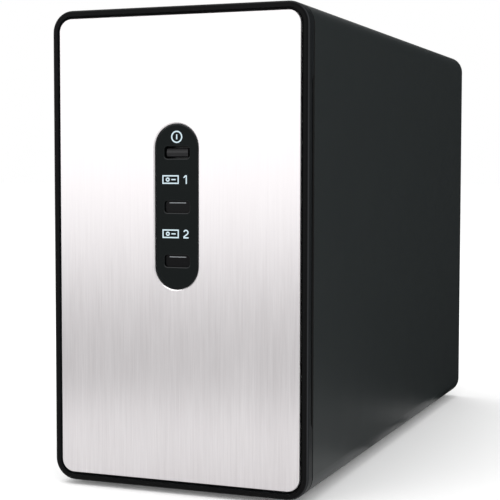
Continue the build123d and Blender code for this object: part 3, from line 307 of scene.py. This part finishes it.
def screws(name, places, outward, profile, reach, finish, body, slot, node):
    """Screws with a cross recess, which replace a node's. Each profile of (radius, height) points
    in millimetres is turned about the screw's axis. Where a point lies in either arm of the cross,
    its height falls by 1.25 - 0.45 radius, at most 1 mm; the sides slope over a short run."""
    arm_half, side_run, core_rows = 0.45, 0.12, 20
    core = np.linspace(0, reach + 0.3, core_rows)
    top = profile[0][1]
    rim = np.array([spot for spot in profile if spot[0] > core[-1] or spot[1] < top])
    radii = np.concatenate([core, rim[:, 0]])
    heights = np.concatenate([np.full(core_rows, top), rim[:, 1]])
    angles = np.linspace(0, 2 * np.pi, 64, endpoint=False)
    across, up = radii[:, None] * np.cos(angles), radii[:, None] * np.sin(angles)

    def inside(value, edge):
        return np.clip((edge - np.abs(value)) / side_run, 0, 1)

    cross = np.maximum(
        inside(across, arm_half) * inside(up, reach), inside(up, arm_half) * inside(across, reach)
    )
    sunk = np.zeros_like(across)
    sunk[:core_rows] = np.minimum(1.0, 1.25 - radii[:core_rows, None] * 0.45) * cross[:core_rows]
    axis = np.array(outward, float)
    first = np.array([axis[1], axis[2], axis[0]])
    second = np.cross(axis, first)
    raised = (heights[:, None] - sunk)[..., None] * axis
    shape = across[..., None] * first + up[..., None] * second + raised
    grids = [(np.array(place) + shape) * MM for place in places]
    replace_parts(surfaces(name, grids, finish, body, slot), node)


countersunk_low, countersunk_high = box_mm("bezel_screws")
countersunk = [(0, 0), (2.9, 0), (2.95, -0.1), (1.45, -1.6), (1.45, -6.8), (1.1, -7), (0, -7)]
countersunk_y = (countersunk_low.y + countersunk_high.y) / 2
countersunk_x = 25.0
screws(
    "countersunk_screws",
    [(x, countersunk_y, countersunk_low.z) for x in (-countersunk_x, countersunk_x)],
    (0, 0, -1),
    countersunk,
    1.5,
    black_steel,
    "case",
    "black_steel",
    "bezel_screws",
)

# ---------------------------------------------------------------- front plate
# Aluminium sheet brushed from top to bottom and clear anodised, stuck in the bezel's recess with a
# sheet of foam tape.
brushed = Finish("brushed_plate", (0.6, 0.58, 0.59), 0.3, metal=1.0, Anisotropic=0.8)
streak = brushed.noise(0.0005, stretch=(1, 1, 45), detail=4.0, rough=0.7)
fine_streak = brushed.noise(0.0002, stretch=(1, 1, 60), detail=2.0)
haze = brushed.noise(0.012, stretch=(1, 1, 4), detail=2.0)
height = brushed.node("SeparateXYZ", out="Z", Vector=brushed.place())
streak_depth = (1.0 - (height - 0.066) * 20.0).clipped(0.25, 1)
lines = 0.5 + (streak * 0.55 + fine_streak * 0.25 + haze * 0.2 - 0.5) * streak_depth
# The cut edges and the window's chamfer are bare aluminium, brighter than the brushed face; their
# colour is raised to near white, which also paints a highlight on them.
cut_edge_and_painted_highlight = (1.3 - 1.6 * brushed.normal("Y").size()).clipped(0, 1)
darker_streak, lighter_streak = (0.515, 0.492, 0.5), (0.617, 0.597, 0.604)
metal = brushed.mix((lines * 3 - 1).clipped(0, 1), darker_streak, lighter_streak)
brushed.feed("Base Color", brushed.mix(cut_edge_and_painted_highlight, metal, (0.97, 0.97, 0.97)))
brushed.feed("Roughness", (0.24 + 0.16 * lines).clipped(0.1, 0.6))
brushed.bump(lines, 0.000006)
brushed.paint("front_plate")
foam_tape = Finish("foam_tape", (0.05, 0.05, 0.05), 0.9)
foam_tape.grained(0.0004, 0.00005, 0.1).paint("plate_adhesive")

# ---------------------------------------------------------------- control strip
# Pill-shaped moulding in semi-gloss black, pushed through the plate from behind. White symbols
# are printed on it over each slot: power, drive 1 and drive 2.
strip_black = (0.0035, 0.005, 0.005)
strip_plastic = Finish("strip_plastic", strip_black, 0.36, Specular_IOR_Level=0.035)
strip_plastic.grained(0.0003, 0.000008, 0.06, tint=None).paint("control_strip")
# Rounded rims half turned to the front are painted lighter, most where they face up: a painted
# highlight.
upward = strip_plastic.normal("Z").clipped(0, 1)
rim_painted_highlight = strip_plastic.facing("Y", 0.7, 0.35) * (0.15 + 0.85 * upward)
strip_plastic.feed("Base Color", strip_plastic.mix(rim_painted_highlight, strip_black, (0.1, 0.102, 0.105)))
ink = Finish("label_ink", (0.52, 0.64, 0.7), 0.5)
ink.grained(0.0002, 0.000004, 0.1)
strip_low, strip_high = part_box("control_strip")
strip_z = (strip_low.z + strip_high.z) / 2
ink_face = strip_low.y - 0.02 * MM
ink_back = strip_low.y + 0.01 * MM


def printed(name, strokes, width):
    """Printed lines: each path of (x, z) points in millimetres carries a flat section whose sides
    lie half a width to either side, lengthened at the corners so that they are mitred."""
    grids = []
    for points, closed in strokes:
        path = np.array(points, float)
        ahead = np.roll(path, -1, 0) - path
        if not closed:
            ahead[-1] = ahead[-2]
        ahead /= np.linalg.norm(ahead, axis=1, keepdims=True)
        behind = np.roll(ahead, 1, 0)
        if not closed:
            behind[0] = ahead[0]
        turn_left = np.array([[0, 1], [-1, 0]])
        side = (ahead + behind) @ turn_left
        side *= width / 2 / (side * (ahead @ turn_left)).sum(1, keepdims=True)
        left, right = (path + side) * MM, (path - side) * MM
        corners = [(left, ink_face), (left, ink_back), (right, ink_back), (right, ink_face)]
        rows = np.stack([np.insert(edge, 1, depth, axis=1) for edge, depth in corners], axis=1)
        if closed:
            rows = np.concatenate([rows, rows[:1]])
        else:
            ends = rows[[0, -1]].mean(1, keepdims=True).repeat(4, axis=1)
            rows = np.concatenate([ends[:1], rows, ends[1:]])
        grids.append(rows)
    surfaces(name, grids, ink, "case", "label_ink")


def circle(x, z, radius, start=0, stop=360, count=48):
    """Points (x + radius cos a, z + radius sin a) for angles a from start to stop."""
    angles = np.radians(np.linspace(start, stop, count, endpoint=stop - start < 360))
    return np.stack([x + radius * np.cos(angles), z + radius * np.sin(angles)], -1)


def bars(boxes):
    """Points and faces of many boxes, each given as its low and high corner."""
    low, high = np.array(boxes, float).transpose(1, 0, 2)
    picks = np.array([[x, y, z] for z in (0, 1) for y in (0, 1) for x in (0, 1)])
    points = low[:, None] + picks * (high - low)[:, None]
    faces = np.array(
        [[0, 2, 3, 1], [4, 5, 7, 6], [0, 1, 5, 4], [2, 6, 7, 3], [0, 4, 6, 2], [1, 3, 7, 5]]
    )
    starts = 8 * np.arange(len(low))[:, None, None]
    return points.reshape(-1, 3), (faces + starts).reshape(-1, 4)


slot_pitch = 17.5
mark_rise = 8.8
power_z = strip_z / MM + slot_pitch + 5.0
printed(
    "power_mark",
    [(circle(0, power_z, 1.75), True), ([(0, power_z - 0.8), (0, power_z + 0.8)], False)],
    0.42,
)
for number in (1, 2):
    mark_z = strip_z / MM - (number - 1) * slot_pitch + mark_rise
    low_z, high_z = mark_z - 1.2, mark_z + 1.2
    drive_mark = [
        ([(-4.9, low_z), (0.5, low_z), (0.5, high_z), (-4.9, high_z)], True),
        (circle(-3.2, mark_z, 0.5, count=24), True),
        ([(-1.9, mark_z), (-0.4, mark_z)], False),
    ]
    hook = circle(3.2, mark_z + 0.5, 0.72, 165, -35, 20)
    numerals = {
        1: [(2.45, high_z - 0.6), (3.05, high_z), (3.35, high_z), (3.35, low_z - 0.2)],
        2: [*hook, (2.5, low_z + 0.3), (2.5, low_z), (4.1, low_z)],
    }
    printed(f"drive_mark_{number}", drive_mark + [(numerals[number], False)], 0.4)

# ---------------------------------------------------------------- power button and lenses
# The button's cap and the two smoked windows sit back in the strip's slots.
button_plastic = Finish("button_plastic", (0.008, 0.008, 0.009), 0.25, Specular_IOR_Level=0.22)
button_plastic.grained(0.0003, 0.000004, 0.06).paint("power_button")
smoked = Finish("smoked_lens", (0.003, 0.003, 0.0035), 0.12, Specular_IOR_Level=0.06)
smoked.grained(0.001, 0.000003, 0.04).paint("drive_1_lens", "drive_2_lens")
# A thin light grey bar on each smoked window's face, near its top, is a painted highlight: it stands
# in for a glint on the window.
lens_glint_paint = Finish("painted_lens_glint", (0.32, 0.34, 0.36), 0.3)
lens_glint_paint.grained(0.0004, 0.000003, 0.1)
lens_face = strip_low.y + 0.9 * MM
for number in (1, 2):
    lens_z = strip_z - (number - 1) * slot_pitch * MM
    glint_low = (-2.9 * MM, lens_face - 0.12 * MM, lens_z + 1.2 * MM)
    glint_high = (2.9 * MM, lens_face, lens_z + 1.38 * MM)
    glint_bar = bars([(glint_low, glint_high)])
    solid(f"drive_{number}_painted_glint", *glint_bar, lens_glint_paint, "case", "smoked_lens")

# ---------------------------------------------------------------- front board
# Small circuit board screwed to four bosses behind the bezel. It carries the push switch, two
# lamps, and the socket that the main board's tongue plugs into.
board_mask = Finish("circuit_board", (0.012, 0.1, 0.04), 0.35, Coat_Weight=0.4, Coat_Roughness=0.2)
track = board_mask.node(
    "TexBrick",
    {"offset": 0.5},
    out="Fac",
    Vector=board_mask.place((700, 700, 700)),
    Mortar_Size=0.035,
    Brick_Width=1.6,
    Row_Height=0.9,
)
blotch = board_mask.noise(0.004)
board_mask.feed(
    "Base Color",
    board_mask.mix((track * blotch).clipped(0, 1), (0.01, 0.085, 0.035), (0.03, 0.2, 0.09)),
)
board_mask.bump(track, 0.00002)
board_mask.paint("front_board", "backplane", "main_board")
socket_plastic = Finish("socket_plastic", (0.02, 0.02, 0.02), 0.5)
socket_plastic.grained(0.0003, 0.00001, 0.1).paint(
    "front_socket", "power_switch", "backplane_socket", "drive_1_socket", "drive_2_socket",
    "cell_holder", "reset_switch",
)
grey_plastic = Finish("reset_plastic", (0.45, 0.45, 0.44), 0.45)
grey_plastic.grained(0.0003, 0.00001, 0.1).paint("switch_plunger", "reset_button")
lamp = Finish("lamp", (0.85, 0.85, 0.78), 0.25)
lamp.grained(0.0005, 0.000003, 0.05).paint("front_lights")
zinc = Finish("zinc_steel", (0.6, 0.6, 0.58), 0.3, metal=1.0)
zinc.grained(0.0004, 0.000003, 0.12, tint=0.05).paint("front_board_screws")

# ---------------------------------------------------------------- rear panel
# Punched steel sheet in textured black, with the fan's finger guard, vents and socket openings.
panel_paint = Finish("panel_paint", (0.024, 0.025, 0.025), 0.5)
panel_paint.grained(0.0005, 0.00003, 0.1, tint=0.1).paint("rear_panel")
fan_low, fan_high = box_mm("fan_frame")
fan_middle = (fan_low + fan_high) / 2
rear_face = box_mm("rear_panel")[1].y
fan_head = [(0, 1.8), (2.6, 1.8), (3.1, 1.65), (3.45, 1.3), (3.6, 0.8), (3.6, 0)]
fan_shank = [(2, 0), (2, -9.4), (1.5, -10), (0, -10)]
fan_hole = 25
fan_hole_places = [(x, z) for x in (-fan_hole, fan_hole) for z in (-fan_hole, fan_hole)]
screws(
    "fan_fixings",
    [(fan_middle.x + x, rear_face, fan_middle.z + z) for x, z in fan_hole_places],
    (0, 1, 0),
    fan_head + fan_shank,
    1.9,
    black_steel,
    "sled",
    "black_steel",
    "fan_screws",
)
nickel = Finish("thumb_steel", (0.6, 0.59, 0.57), 0.26, metal=1.0)
nickel.grained(0.0003, 0.000003, 0.1, tint=0.05).paint("thumbscrew_left", "thumbscrew_right")

# ---------------------------------------------------------------- drive cage
# Folded tray and flat top of zinc-coated sheet steel; the drives are screwed between them.
zinc_sheet = Finish("zinc_sheet", (0.55, 0.56, 0.56), 0.38, metal=1.0)
spangle = zinc_sheet.node(
    "TexVoronoi", {"feature": "F1"}, out="Color", Vector=zinc_sheet.place((180, 180, 180)), Scale=1.0
)
shade = zinc_sheet.node("SeparateColor", out="Red", Color=spangle)
zinc_sheet.feed("Base Color", zinc_sheet.mix(shade, (0.5, 0.51, 0.51), (0.64, 0.65, 0.65)))
zinc_sheet.feed("Roughness", (0.3 + 0.16 * shade).clipped(0.1, 0.7))
zinc_sheet.paint("drive_tray", "cage_top")

tray_face = box_mm("drive_tray")[0].z
top_face = box_mm("cage_top")[1].z


def pan_heads(name, places, outward, length, finish, slot, node):
    """Screws on the sled with pan heads 5.6 mm across and 1.8 mm tall, and shanks of a length."""
    head = [(0, 1.8), (2.0, 1.8), (2.4, 1.65), (2.68, 1.3), (2.8, 0.85), (2.8, 0)]
    shank = [(1.42, 0), (1.42, 0.4 - length), (1.1, -length), (0, -length)]
    screws(name, places, outward, head + shank, 1.5, finish, "sled", slot, node)


out_up, out_down, out_back, out_right = (0, 0, 1), (0, 0, -1), (0, 1, 0), (1, 0, 0)
cage_places = [(x, y, top_face) for x in (-38.6, 13.6) for y in (-48.75, 4.25)]
flange_places = [(x, rear_face, 13.2) for x in (-28.05, 3.05)]
pan_heads("cage_fixings", cage_places, out_up, 2.0, black_steel, "black_steel", "cage_screws")
pan_heads("flange_fixings", flange_places, out_back, 4.0, black_steel, "black_steel", "cage_screws")
drive_places = [(x, y) for x in (-21.35, 9.75) for y in (-73.85, 27.75)]
upper_places = [(x, y, top_face) for x, y in drive_places]
lower_places = [(x, y, tray_face) for x, y in drive_places]
pan_heads("upper_drive_fixings", upper_places, out_up, 7.0, zinc, "zinc_steel", "drive_screws")
pan_heads("lower_drive_fixings", lower_places, out_down, 5.0, zinc, "zinc_steel", "drive_screws")

# ---------------------------------------------------------------- hard drives
# Each is an aluminium casting with a pressed steel cover on one side and its circuit board on the
# other; inside are the polished discs and the head arm.
cast = Finish("cast_aluminium", (0.5, 0.5, 0.5), 0.5, metal=0.9)
cast.grained(0.0006, 0.00003, 0.12, tint=0.08)
pressed = Finish("drive_cover", (0.62, 0.62, 0.62), 0.34, metal=1.0)
pressed.grained(0.0005, 0.000005, 0.1, tint=0.04)
mirror = Finish("disc_mirror", (0.82, 0.82, 0.83), 0.06, metal=1.0)
mirror.grained(0.002, 0.000001, 0.02)
arm_metal = Finish("arm_metal", (0.66, 0.66, 0.66), 0.3, metal=1.0)
arm_metal.grained(0.0004, 0.000004, 0.1)
card_mask = Finish("drive_card", (0.01, 0.06, 0.09), 0.35)
card_mask.grained(0.002, 0.00001, 0.1, tint=0.3)
for number in (1, 2):
    cast.paint(f"drive_{number}_casting")
    pressed.paint(f"drive_{number}_cover")
    mirror.paint(f"drive_{number}_platters")
    arm_metal.paint(f"drive_{number}_head_arm")
    card_mask.paint(f"drive_{number}_board")

label_paper = Finish("blank_label", (0.62, 0.62, 0.6), 0.55)
label_paper.grained(0.0006, 0.000003, 0.1)
label_half_y, label_half_z, label_corner, label_shift, label_thickness = 27, 36, 3, 22, 0.08
for number in (1, 2):
    cover_low, cover_high = box_mm(f"drive_{number}_cover")
    cover_middle = (cover_low + cover_high) / 2
    corner_angles = np.radians(np.arange(0, 360, 10)) + np.radians(5)
    swing_y, swing_z = np.cos(corner_angles), np.sin(corner_angles)
    edge_y = label_shift + np.sign(swing_y) * label_half_y + label_corner * swing_y
    edge_z = np.sign(swing_z) * label_half_z + label_corner * swing_z
    edge = np.stack([0 * swing_y, cover_middle.y + edge_y, cover_middle.z + edge_z], -1)
    outside = cover_low.x - label_thickness
    rows = np.stack([edge, edge, edge, edge])
    rows[..., 0] = np.array([cover_low.x, cover_low.x, outside, outside])[:, None]
    rows[[0, 3], :, 1:] = edge[:, 1:].mean(0)
    surface(f"drive_{number}_label", rows * MM, label_paper, "sled", True, "label_ink")

# ---------------------------------------------------------------- main board
# Upright board on four brass standoffs, with its processor under a finned heat sink. Chip
# capacitors, resistors and small circuits are soldered all over its outer face.
board_low, board_high = box_mm("main_board")
standoff_places = [(y, z) for y in (-66.75, 32.25) for z in (17.8, 92.8)]
board_places = [(board_high.x, y, z) for y, z in standoff_places]
pan_heads("board_fixings", board_places, out_right, 5.0, zinc, "zinc_steel", "board_screws")
backplane_places = [(-38.1, box_mm("backplane")[1].y, z) for z in (15.7, 93.7)]
pan_heads("backplane_fixings", backplane_places, out_back, 4.0, zinc, "zinc_steel", "board_screws")


def mesas(name, feet, sizes, finish, slot, normal=0, taper=0.06):
    """Low blocks standing on a face: each foot point carries a rectangle as wide and as deep as its
    size says, and a top that is smaller by the taper on every side, at the size's height."""
    feet, sizes = np.array(feet, float), np.array(sizes, float)
    flat = np.array([[-1, -1], [1, -1], [1, 1], [-1, 1]]) / 2
    base = flat * sizes[:, None, :2]
    top = base - np.sign(flat) * taper
    plane = [axis for axis in range(3) if axis != normal]
    points = np.repeat(feet[:, None, :], 8, axis=1)
    points[:, :4, plane] += base
    points[:, 4:, plane] += top
    points[:, 4:, normal] += sizes[:, 2:3]
    faces = np.array(
        [[3, 2, 1, 0], [4, 5, 6, 7], [0, 1, 5, 4], [1, 2, 6, 5], [2, 3, 7, 6], [3, 0, 4, 7]]
    )
    starts = 8 * np.arange(len(feet))[:, None, None]
    return solid(
        name, points.reshape(-1, 3) * MM, (faces + starts).reshape(-1, 4), finish, "sled", slot
    )


draw = np.random.default_rng(11)
large_parts = (
    "heat_sink",
    "processor",
    "memory_chips",
    "capacitors",
    "cell_holder",
    "network_jack",
    "usb_port_1",
    "usb_port_2",
    "power_inlet",
    "reset_switch",
    "backplane_socket",
)
taken = np.array([[low.y, low.z, high.y, high.z] for low, high in map(box_mm, large_parts)])
screw_clearance = 4


def free_places(count, room):
    """Places on the main board's face, rounded to half a millimetre, that keep clear of the large
    parts, the screws and the board's edge by at least some room."""
    spots = draw.uniform(
        (board_low.y + 9, board_low.z + 3), (board_high.y - 4, board_high.z - 3), (count, 2)
    )
    spots = np.round(spots * 2) / 2
    beyond = np.maximum(taken[None, :, :2] - spots[:, None], spots[:, None] - taken[None, :, 2:])
    clear = (beyond.max(2) > room).all(1)
    from_screws = np.linalg.norm(spots[:, None] - np.array(standoff_places), axis=2).min(1)
    return spots[clear & (from_screws > screw_clearance + room)]


def spread(spots, gap):
    """Keeps each place that is at least a gap from every place kept before it."""
    kept = spots[:1]
    for spot in spots[1:]:
        if np.abs(kept - spot).max(1).min() >= gap:
            kept = np.concatenate([kept, spot[None]])
    return kept


def away_from(spots, others, gap):
    """The places that are more than a gap from every one of the others."""
    return spots[np.abs(spots[:, None] - others[None]).max(2).min(1) > gap]


circuits = spread(free_places(160, 4.0), 11.0)[:12]
coils = spread(away_from(spread(free_places(260, 4.5), 9.0), circuits, 8.5), 9.0)[:5]
chips = spread(away_from(free_places(1600, 1.4), np.concatenate([circuits, coils]), 4.9), 2.4)


def on_board(name, spots, size, finish, slot, taper=0.06):
    """Blocks of one size, or of a row of sizes, soldered to the main board at places on it."""
    feet = np.insert(spots, 0, board_high.x, axis=1)
    sizes = np.broadcast_to(np.array(size, float), (len(spots), 3))
    return mesas(name, feet, sizes, finish, slot, taper=taper)


epoxy = Finish("chip_plastic", (0.02, 0.02, 0.021), 0.55)
epoxy.grained(0.0004, 0.00001, 0.1).paint("processor", "memory_chips")
solder = Finish("solder", (0.62, 0.62, 0.6), 0.3, metal=1.0)
solder.grained(0.0003, 0.00001, 0.1)
ceramic = Finish("ceramic", (0.32, 0.22, 0.14), 0.5)
ceramic.grained(0.0004, 0.000005, 0.1, tint=0.1)
ferrite = Finish("ferrite", (0.1, 0.1, 0.105), 0.6)
ferrite.grained(0.0004, 0.00001, 0.1)
wide = np.where(np.arange(len(circuits)) % 3 == 0, 7.0, 5.0)
circuit_sizes = np.stack([wide, wide * 0 + 5, wide * 0 + 1.1], -1)
on_board("small_circuits", circuits, circuit_sizes, epoxy, "chip_plastic", taper=0.15)
legs = np.array([(step, side * 3.1) for side in (-1, 1) for step in (-1.9, -0.65, 0.65, 1.9)])
leg_places = (circuits[:, None] + legs).reshape(-1, 2)
on_board("circuit_legs", leg_places, (0.5, 1.3, 0.35), solder, "zinc_steel", taper=0.05)
on_board("coils", coils, (6.0, 6.0, 3.0), ferrite, "chip_plastic", taper=0.5)
chip_size = (1.0, 0.85, 0.55)
on_board("chip_capacitors", chips[::2], chip_size, ceramic, "chip_plastic")
on_board("chip_resistors", chips[1::2], chip_size, epoxy, "chip_plastic")
end_places = (chips[:, None] + np.array([(-0.7, 0), (0.7, 0)])).reshape(-1, 2)
on_board("chip_ends", end_places, (0.5, 0.9, 0.57), solder, "zinc_steel")

brass = Finish("standoff_brass", (0.72, 0.52, 0.22), 0.3, metal=1.0)
brass.grained(0.0004, 0.000003, 0.1).paint("board_standoffs")
dark_sink = Finish("anodised_sink", (0.05, 0.052, 0.055), 0.4, metal=0.8)
dark_sink.grained(0.0005, 0.000006, 0.1).paint("heat_sink")
can = Finish("capacitor_can", (0.4, 0.42, 0.47), 0.3, metal=0.8)
can.grained(0.0006, 0.000004, 0.1).paint("capacitors")
cell = Finish("cell_steel", (0.7, 0.7, 0.68), 0.25, metal=1.0)
cell.grained(0.0006, 0.000003, 0.1).paint("coin_cell")

# ---------------------------------------------------------------- rear sockets
# Tinned steel cans for the network and USB sockets, a moulded power inlet.
tin = Finish("port_can", (0.62, 0.62, 0.61), 0.28, metal=1.0)
tin.grained(0.0005, 0.000003, 0.1, tint=0.04).paint("network_jack", "usb_port_1", "usb_port_2")
gilt = Finish("contact_gilt", (0.85, 0.62, 0.25), 0.25, metal=1.0)
gilt.grained(0.0002, 0.000002, 0.08)
jack_low, jack_high = box_mm("network_jack")
jack_z = (jack_low.z + jack_high.z) / 2
pin_pitch, pin_half = 1.02, 0.22
pins = [
    (
        (jack_low.x + 2.3, jack_high.y - 12.5, jack_z + pin_pitch * step - pin_half),
        (jack_low.x + 2.75, jack_high.y - 1.8, jack_z + pin_pitch * step + pin_half),
    )
    for step in np.arange(8) - 3.5
]
solid("jack_contacts", *bars(np.array(pins) * MM), gilt, "sled", "standoff_brass")
window_size = (1.8, 2.6, 0.12)
for colour_name, colour, window_z in (
    ("green", (0.1, 0.42, 0.12), jack_z - 6.0),
    ("amber", (0.65, 0.33, 0.05), jack_z + 6.0),
):
    window = Finish(f"{colour_name}_window", colour, 0.25)
    window.grained(0.0004, 0.000003, 0.08)
    window_foot = (jack_high.x - 1.4, jack_high.y, window_z)
    light_name = f"jack_{colour_name}_light"
    mesas(light_name, [window_foot], [window_size], window, "lamp", normal=1, taper=0.05)
white_plastic = Finish("tongue_plastic", (0.5, 0.5, 0.48), 0.4)
white_plastic.grained(0.0003, 0.000004, 0.08)
tongue_near, tongue_far, tongue_half = 3.66, 5.54, 5.44
pad_thickness, pad_pitch, pad_half = 0.08, 2.3, 0.5
for number in (1, 2):
    usb_low, usb_high = box_mm(f"usb_port_{number}")
    usb_z = (usb_low.z + usb_high.z) / 2
    tongue = (
        (usb_low.x + tongue_near, usb_high.y - 8.9, usb_z - tongue_half),
        (usb_low.x + tongue_far, usb_high.y - 0.95, usb_z + tongue_half),
    )
    tongue_bars = bars(np.array([tongue]) * MM)
    solid(f"usb_{number}_tongue", *tongue_bars, white_plastic, "sled", "reset_plastic")
    pad_x = usb_low.x + tongue_near
    pads = [
        (
            (pad_x - pad_thickness, usb_high.y - 8.5, usb_z + pad_pitch * step - pad_half),
            (pad_x, usb_high.y - 1.6, usb_z + pad_pitch * step + pad_half),
        )
        for step in (-1.5, -0.5, 0.5, 1.5)
    ]
    solid(f"usb_{number}_contacts", *bars(np.array(pads) * MM), gilt, "sled", "standoff_brass")
inlet_plastic = Finish("inlet_plastic", (0.018, 0.018, 0.018), 0.45)
inlet_plastic.grained(0.0003, 0.00001, 0.1).paint("power_inlet")

# ---------------------------------------------------------------- fan
# Moulded frame and seven-bladed rotor; the frame is screwed to the rear panel from outside.
fan_plastic = Finish("fan_plastic", (0.02, 0.02, 0.021), 0.5)
fan_plastic.grained(0.0004, 0.00001, 0.1).paint("fan_frame")
rotor_plastic = Finish("rotor_plastic", (0.025, 0.025, 0.026), 0.42)
rotor_plastic.grained(0.0004, 0.00001, 0.1).paint("fan_rotor")
sleeve = Finish("lead_sleeve", (0.03, 0.03, 0.03), 0.55)
sleeve.grained(0.0005, 0.00003, 0.1).paint("fan_lead")
natural = Finish("header_plastic", (0.75, 0.72, 0.62), 0.5)
natural.grained(0.0004, 0.00001, 0.1).paint("fan_header")

# ---------------------------------------------------------------- studio
# A pale floor under an even white sky. A softbox low in front to the left fills the upper half of
# the brushed plate; cards that only reflections show keep the dark side and the rear dark.
case_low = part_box("bezel")[0]
pale = (0.93, 0.93, 0.93)
paper = Finish("studio_paper", pale, 0.95, Specular_IOR_Level=0.1, Emission_Strength=0.1)
paper.grained(0.002, 0.00001, 0.02)
flat = Finish("black_card", (0.01, 0.01, 0.01), 0.95, Specular_IOR_Level=0.0)
dim_card = Finish("dim_card", (0.3, 0.3, 0.3), 0.95, Specular_IOR_Level=0.0)
grey_card = Finish("grey_card", (0.6, 0.6, 0.6), 0.95, Specular_IOR_Level=0.0)


def sheet_of(corner, across, up):
    """A flat sheet: one corner plus shares from 0 to 1 of two edges."""
    share = np.linspace(0, 1, 2)
    return (
        np.array(corner, float)
        + share[:, None, None] * np.array(across, float)
        + share[None, :, None] * np.array(up, float)
    )


floor = surface("floor", sheet_of((-9, -9, 0), (18, 0, 0), (0, 18, 0)), paper)


def hidden_card(name, finish, start, stop, reach, rise):
    """A card bent round the object: points (r sin a, r cos a, z) for angles a from start to stop,
    where r and z follow a profile. The camera doesn't see it and it casts no shadow."""
    bend = np.radians(np.linspace(start, stop, 24))[:, None]
    grid = np.stack([np.sin(bend) * reach, np.cos(bend) * reach, np.array(rise) + 0 * bend], -1)
    card = surface(name, grid, finish)
    card.visible_camera = False
    card.visible_diffuse = False
    card.visible_shadow = False


hidden_card("side_card", flat, -2, 60, [0.09, 0.95, 0.95], [0.0005, 0.0005, 1.0])
hidden_card("back_card", dim_card, -60, -2, [0.96, 0.96], [0.02, 0.75])
hidden_card("low_card", dim_card, 60, 125, [0.05, 0.6], [0.0005, 0.0005])
hidden_card("front_card", grey_card, 165, 235, [0.28, 0.85], [0.0006, 0.0006])


def soft_light(name, place, target, width, height, watts):
    """A rectangular area light that looks at a point."""
    lamp_data = bpy.data.lights.new(name, "AREA")
    lamp_data.shape = "RECTANGLE"
    lamp_data.size = width
    lamp_data.size_y = height
    lamp_data.energy = watts
    fitting = bpy.data.objects.new(name, lamp_data)
    fitting.location = place
    fitting.rotation_euler = (Vector(target) - Vector(place)).to_track_quat("-Z", "Y").to_euler()
    bpy.context.scene.collection.objects.link(fitting)


middle = (0, 0, 0.08)
soft_light("key_light", (-0.85, -2.0, 0.5), middle, 1.8, 1.35, 10.5)
soft_light("top_light", (-0.3, -0.2, 1.6), middle, 1.4, 1.4, 11)
world = bpy.data.worlds.new("studio")
bpy.context.scene.world = world
bpy.context.scene.view_settings.view_transform = "Standard"
world.use_nodes = True
world.node_tree.nodes["Background"].inputs["Color"].default_value = (1, 1, 1, 1)
world.node_tree.nodes["Background"].inputs["Strength"].default_value = 1.0

# The camera stands right of the front and a little above the middle, turned towards -X.
camera_data = bpy.data.cameras.new("camera")
camera_data.lens = 94.19
camera_data.sensor_width = 36.0
camera = bpy.data.objects.new("camera", camera_data)
bpy.context.scene.collection.objects.link(camera)
yaw, pitch, roll = math.radians(21.296), math.radians(-3.469), math.radians(0.091)
camera.location = (0.17504, case_low.y - 0.38359, case_low.z + 0.10394)
aim = Matrix.Rotation(yaw, 3, "Z") @ Matrix.Rotation(math.pi / 2 + pitch, 3, "X")
camera.rotation_euler = (aim @ Matrix.Rotation(roll, 3, "Z")).to_euler()
bpy.context.scene.camera = camera

bpy.context.view_layer.update()
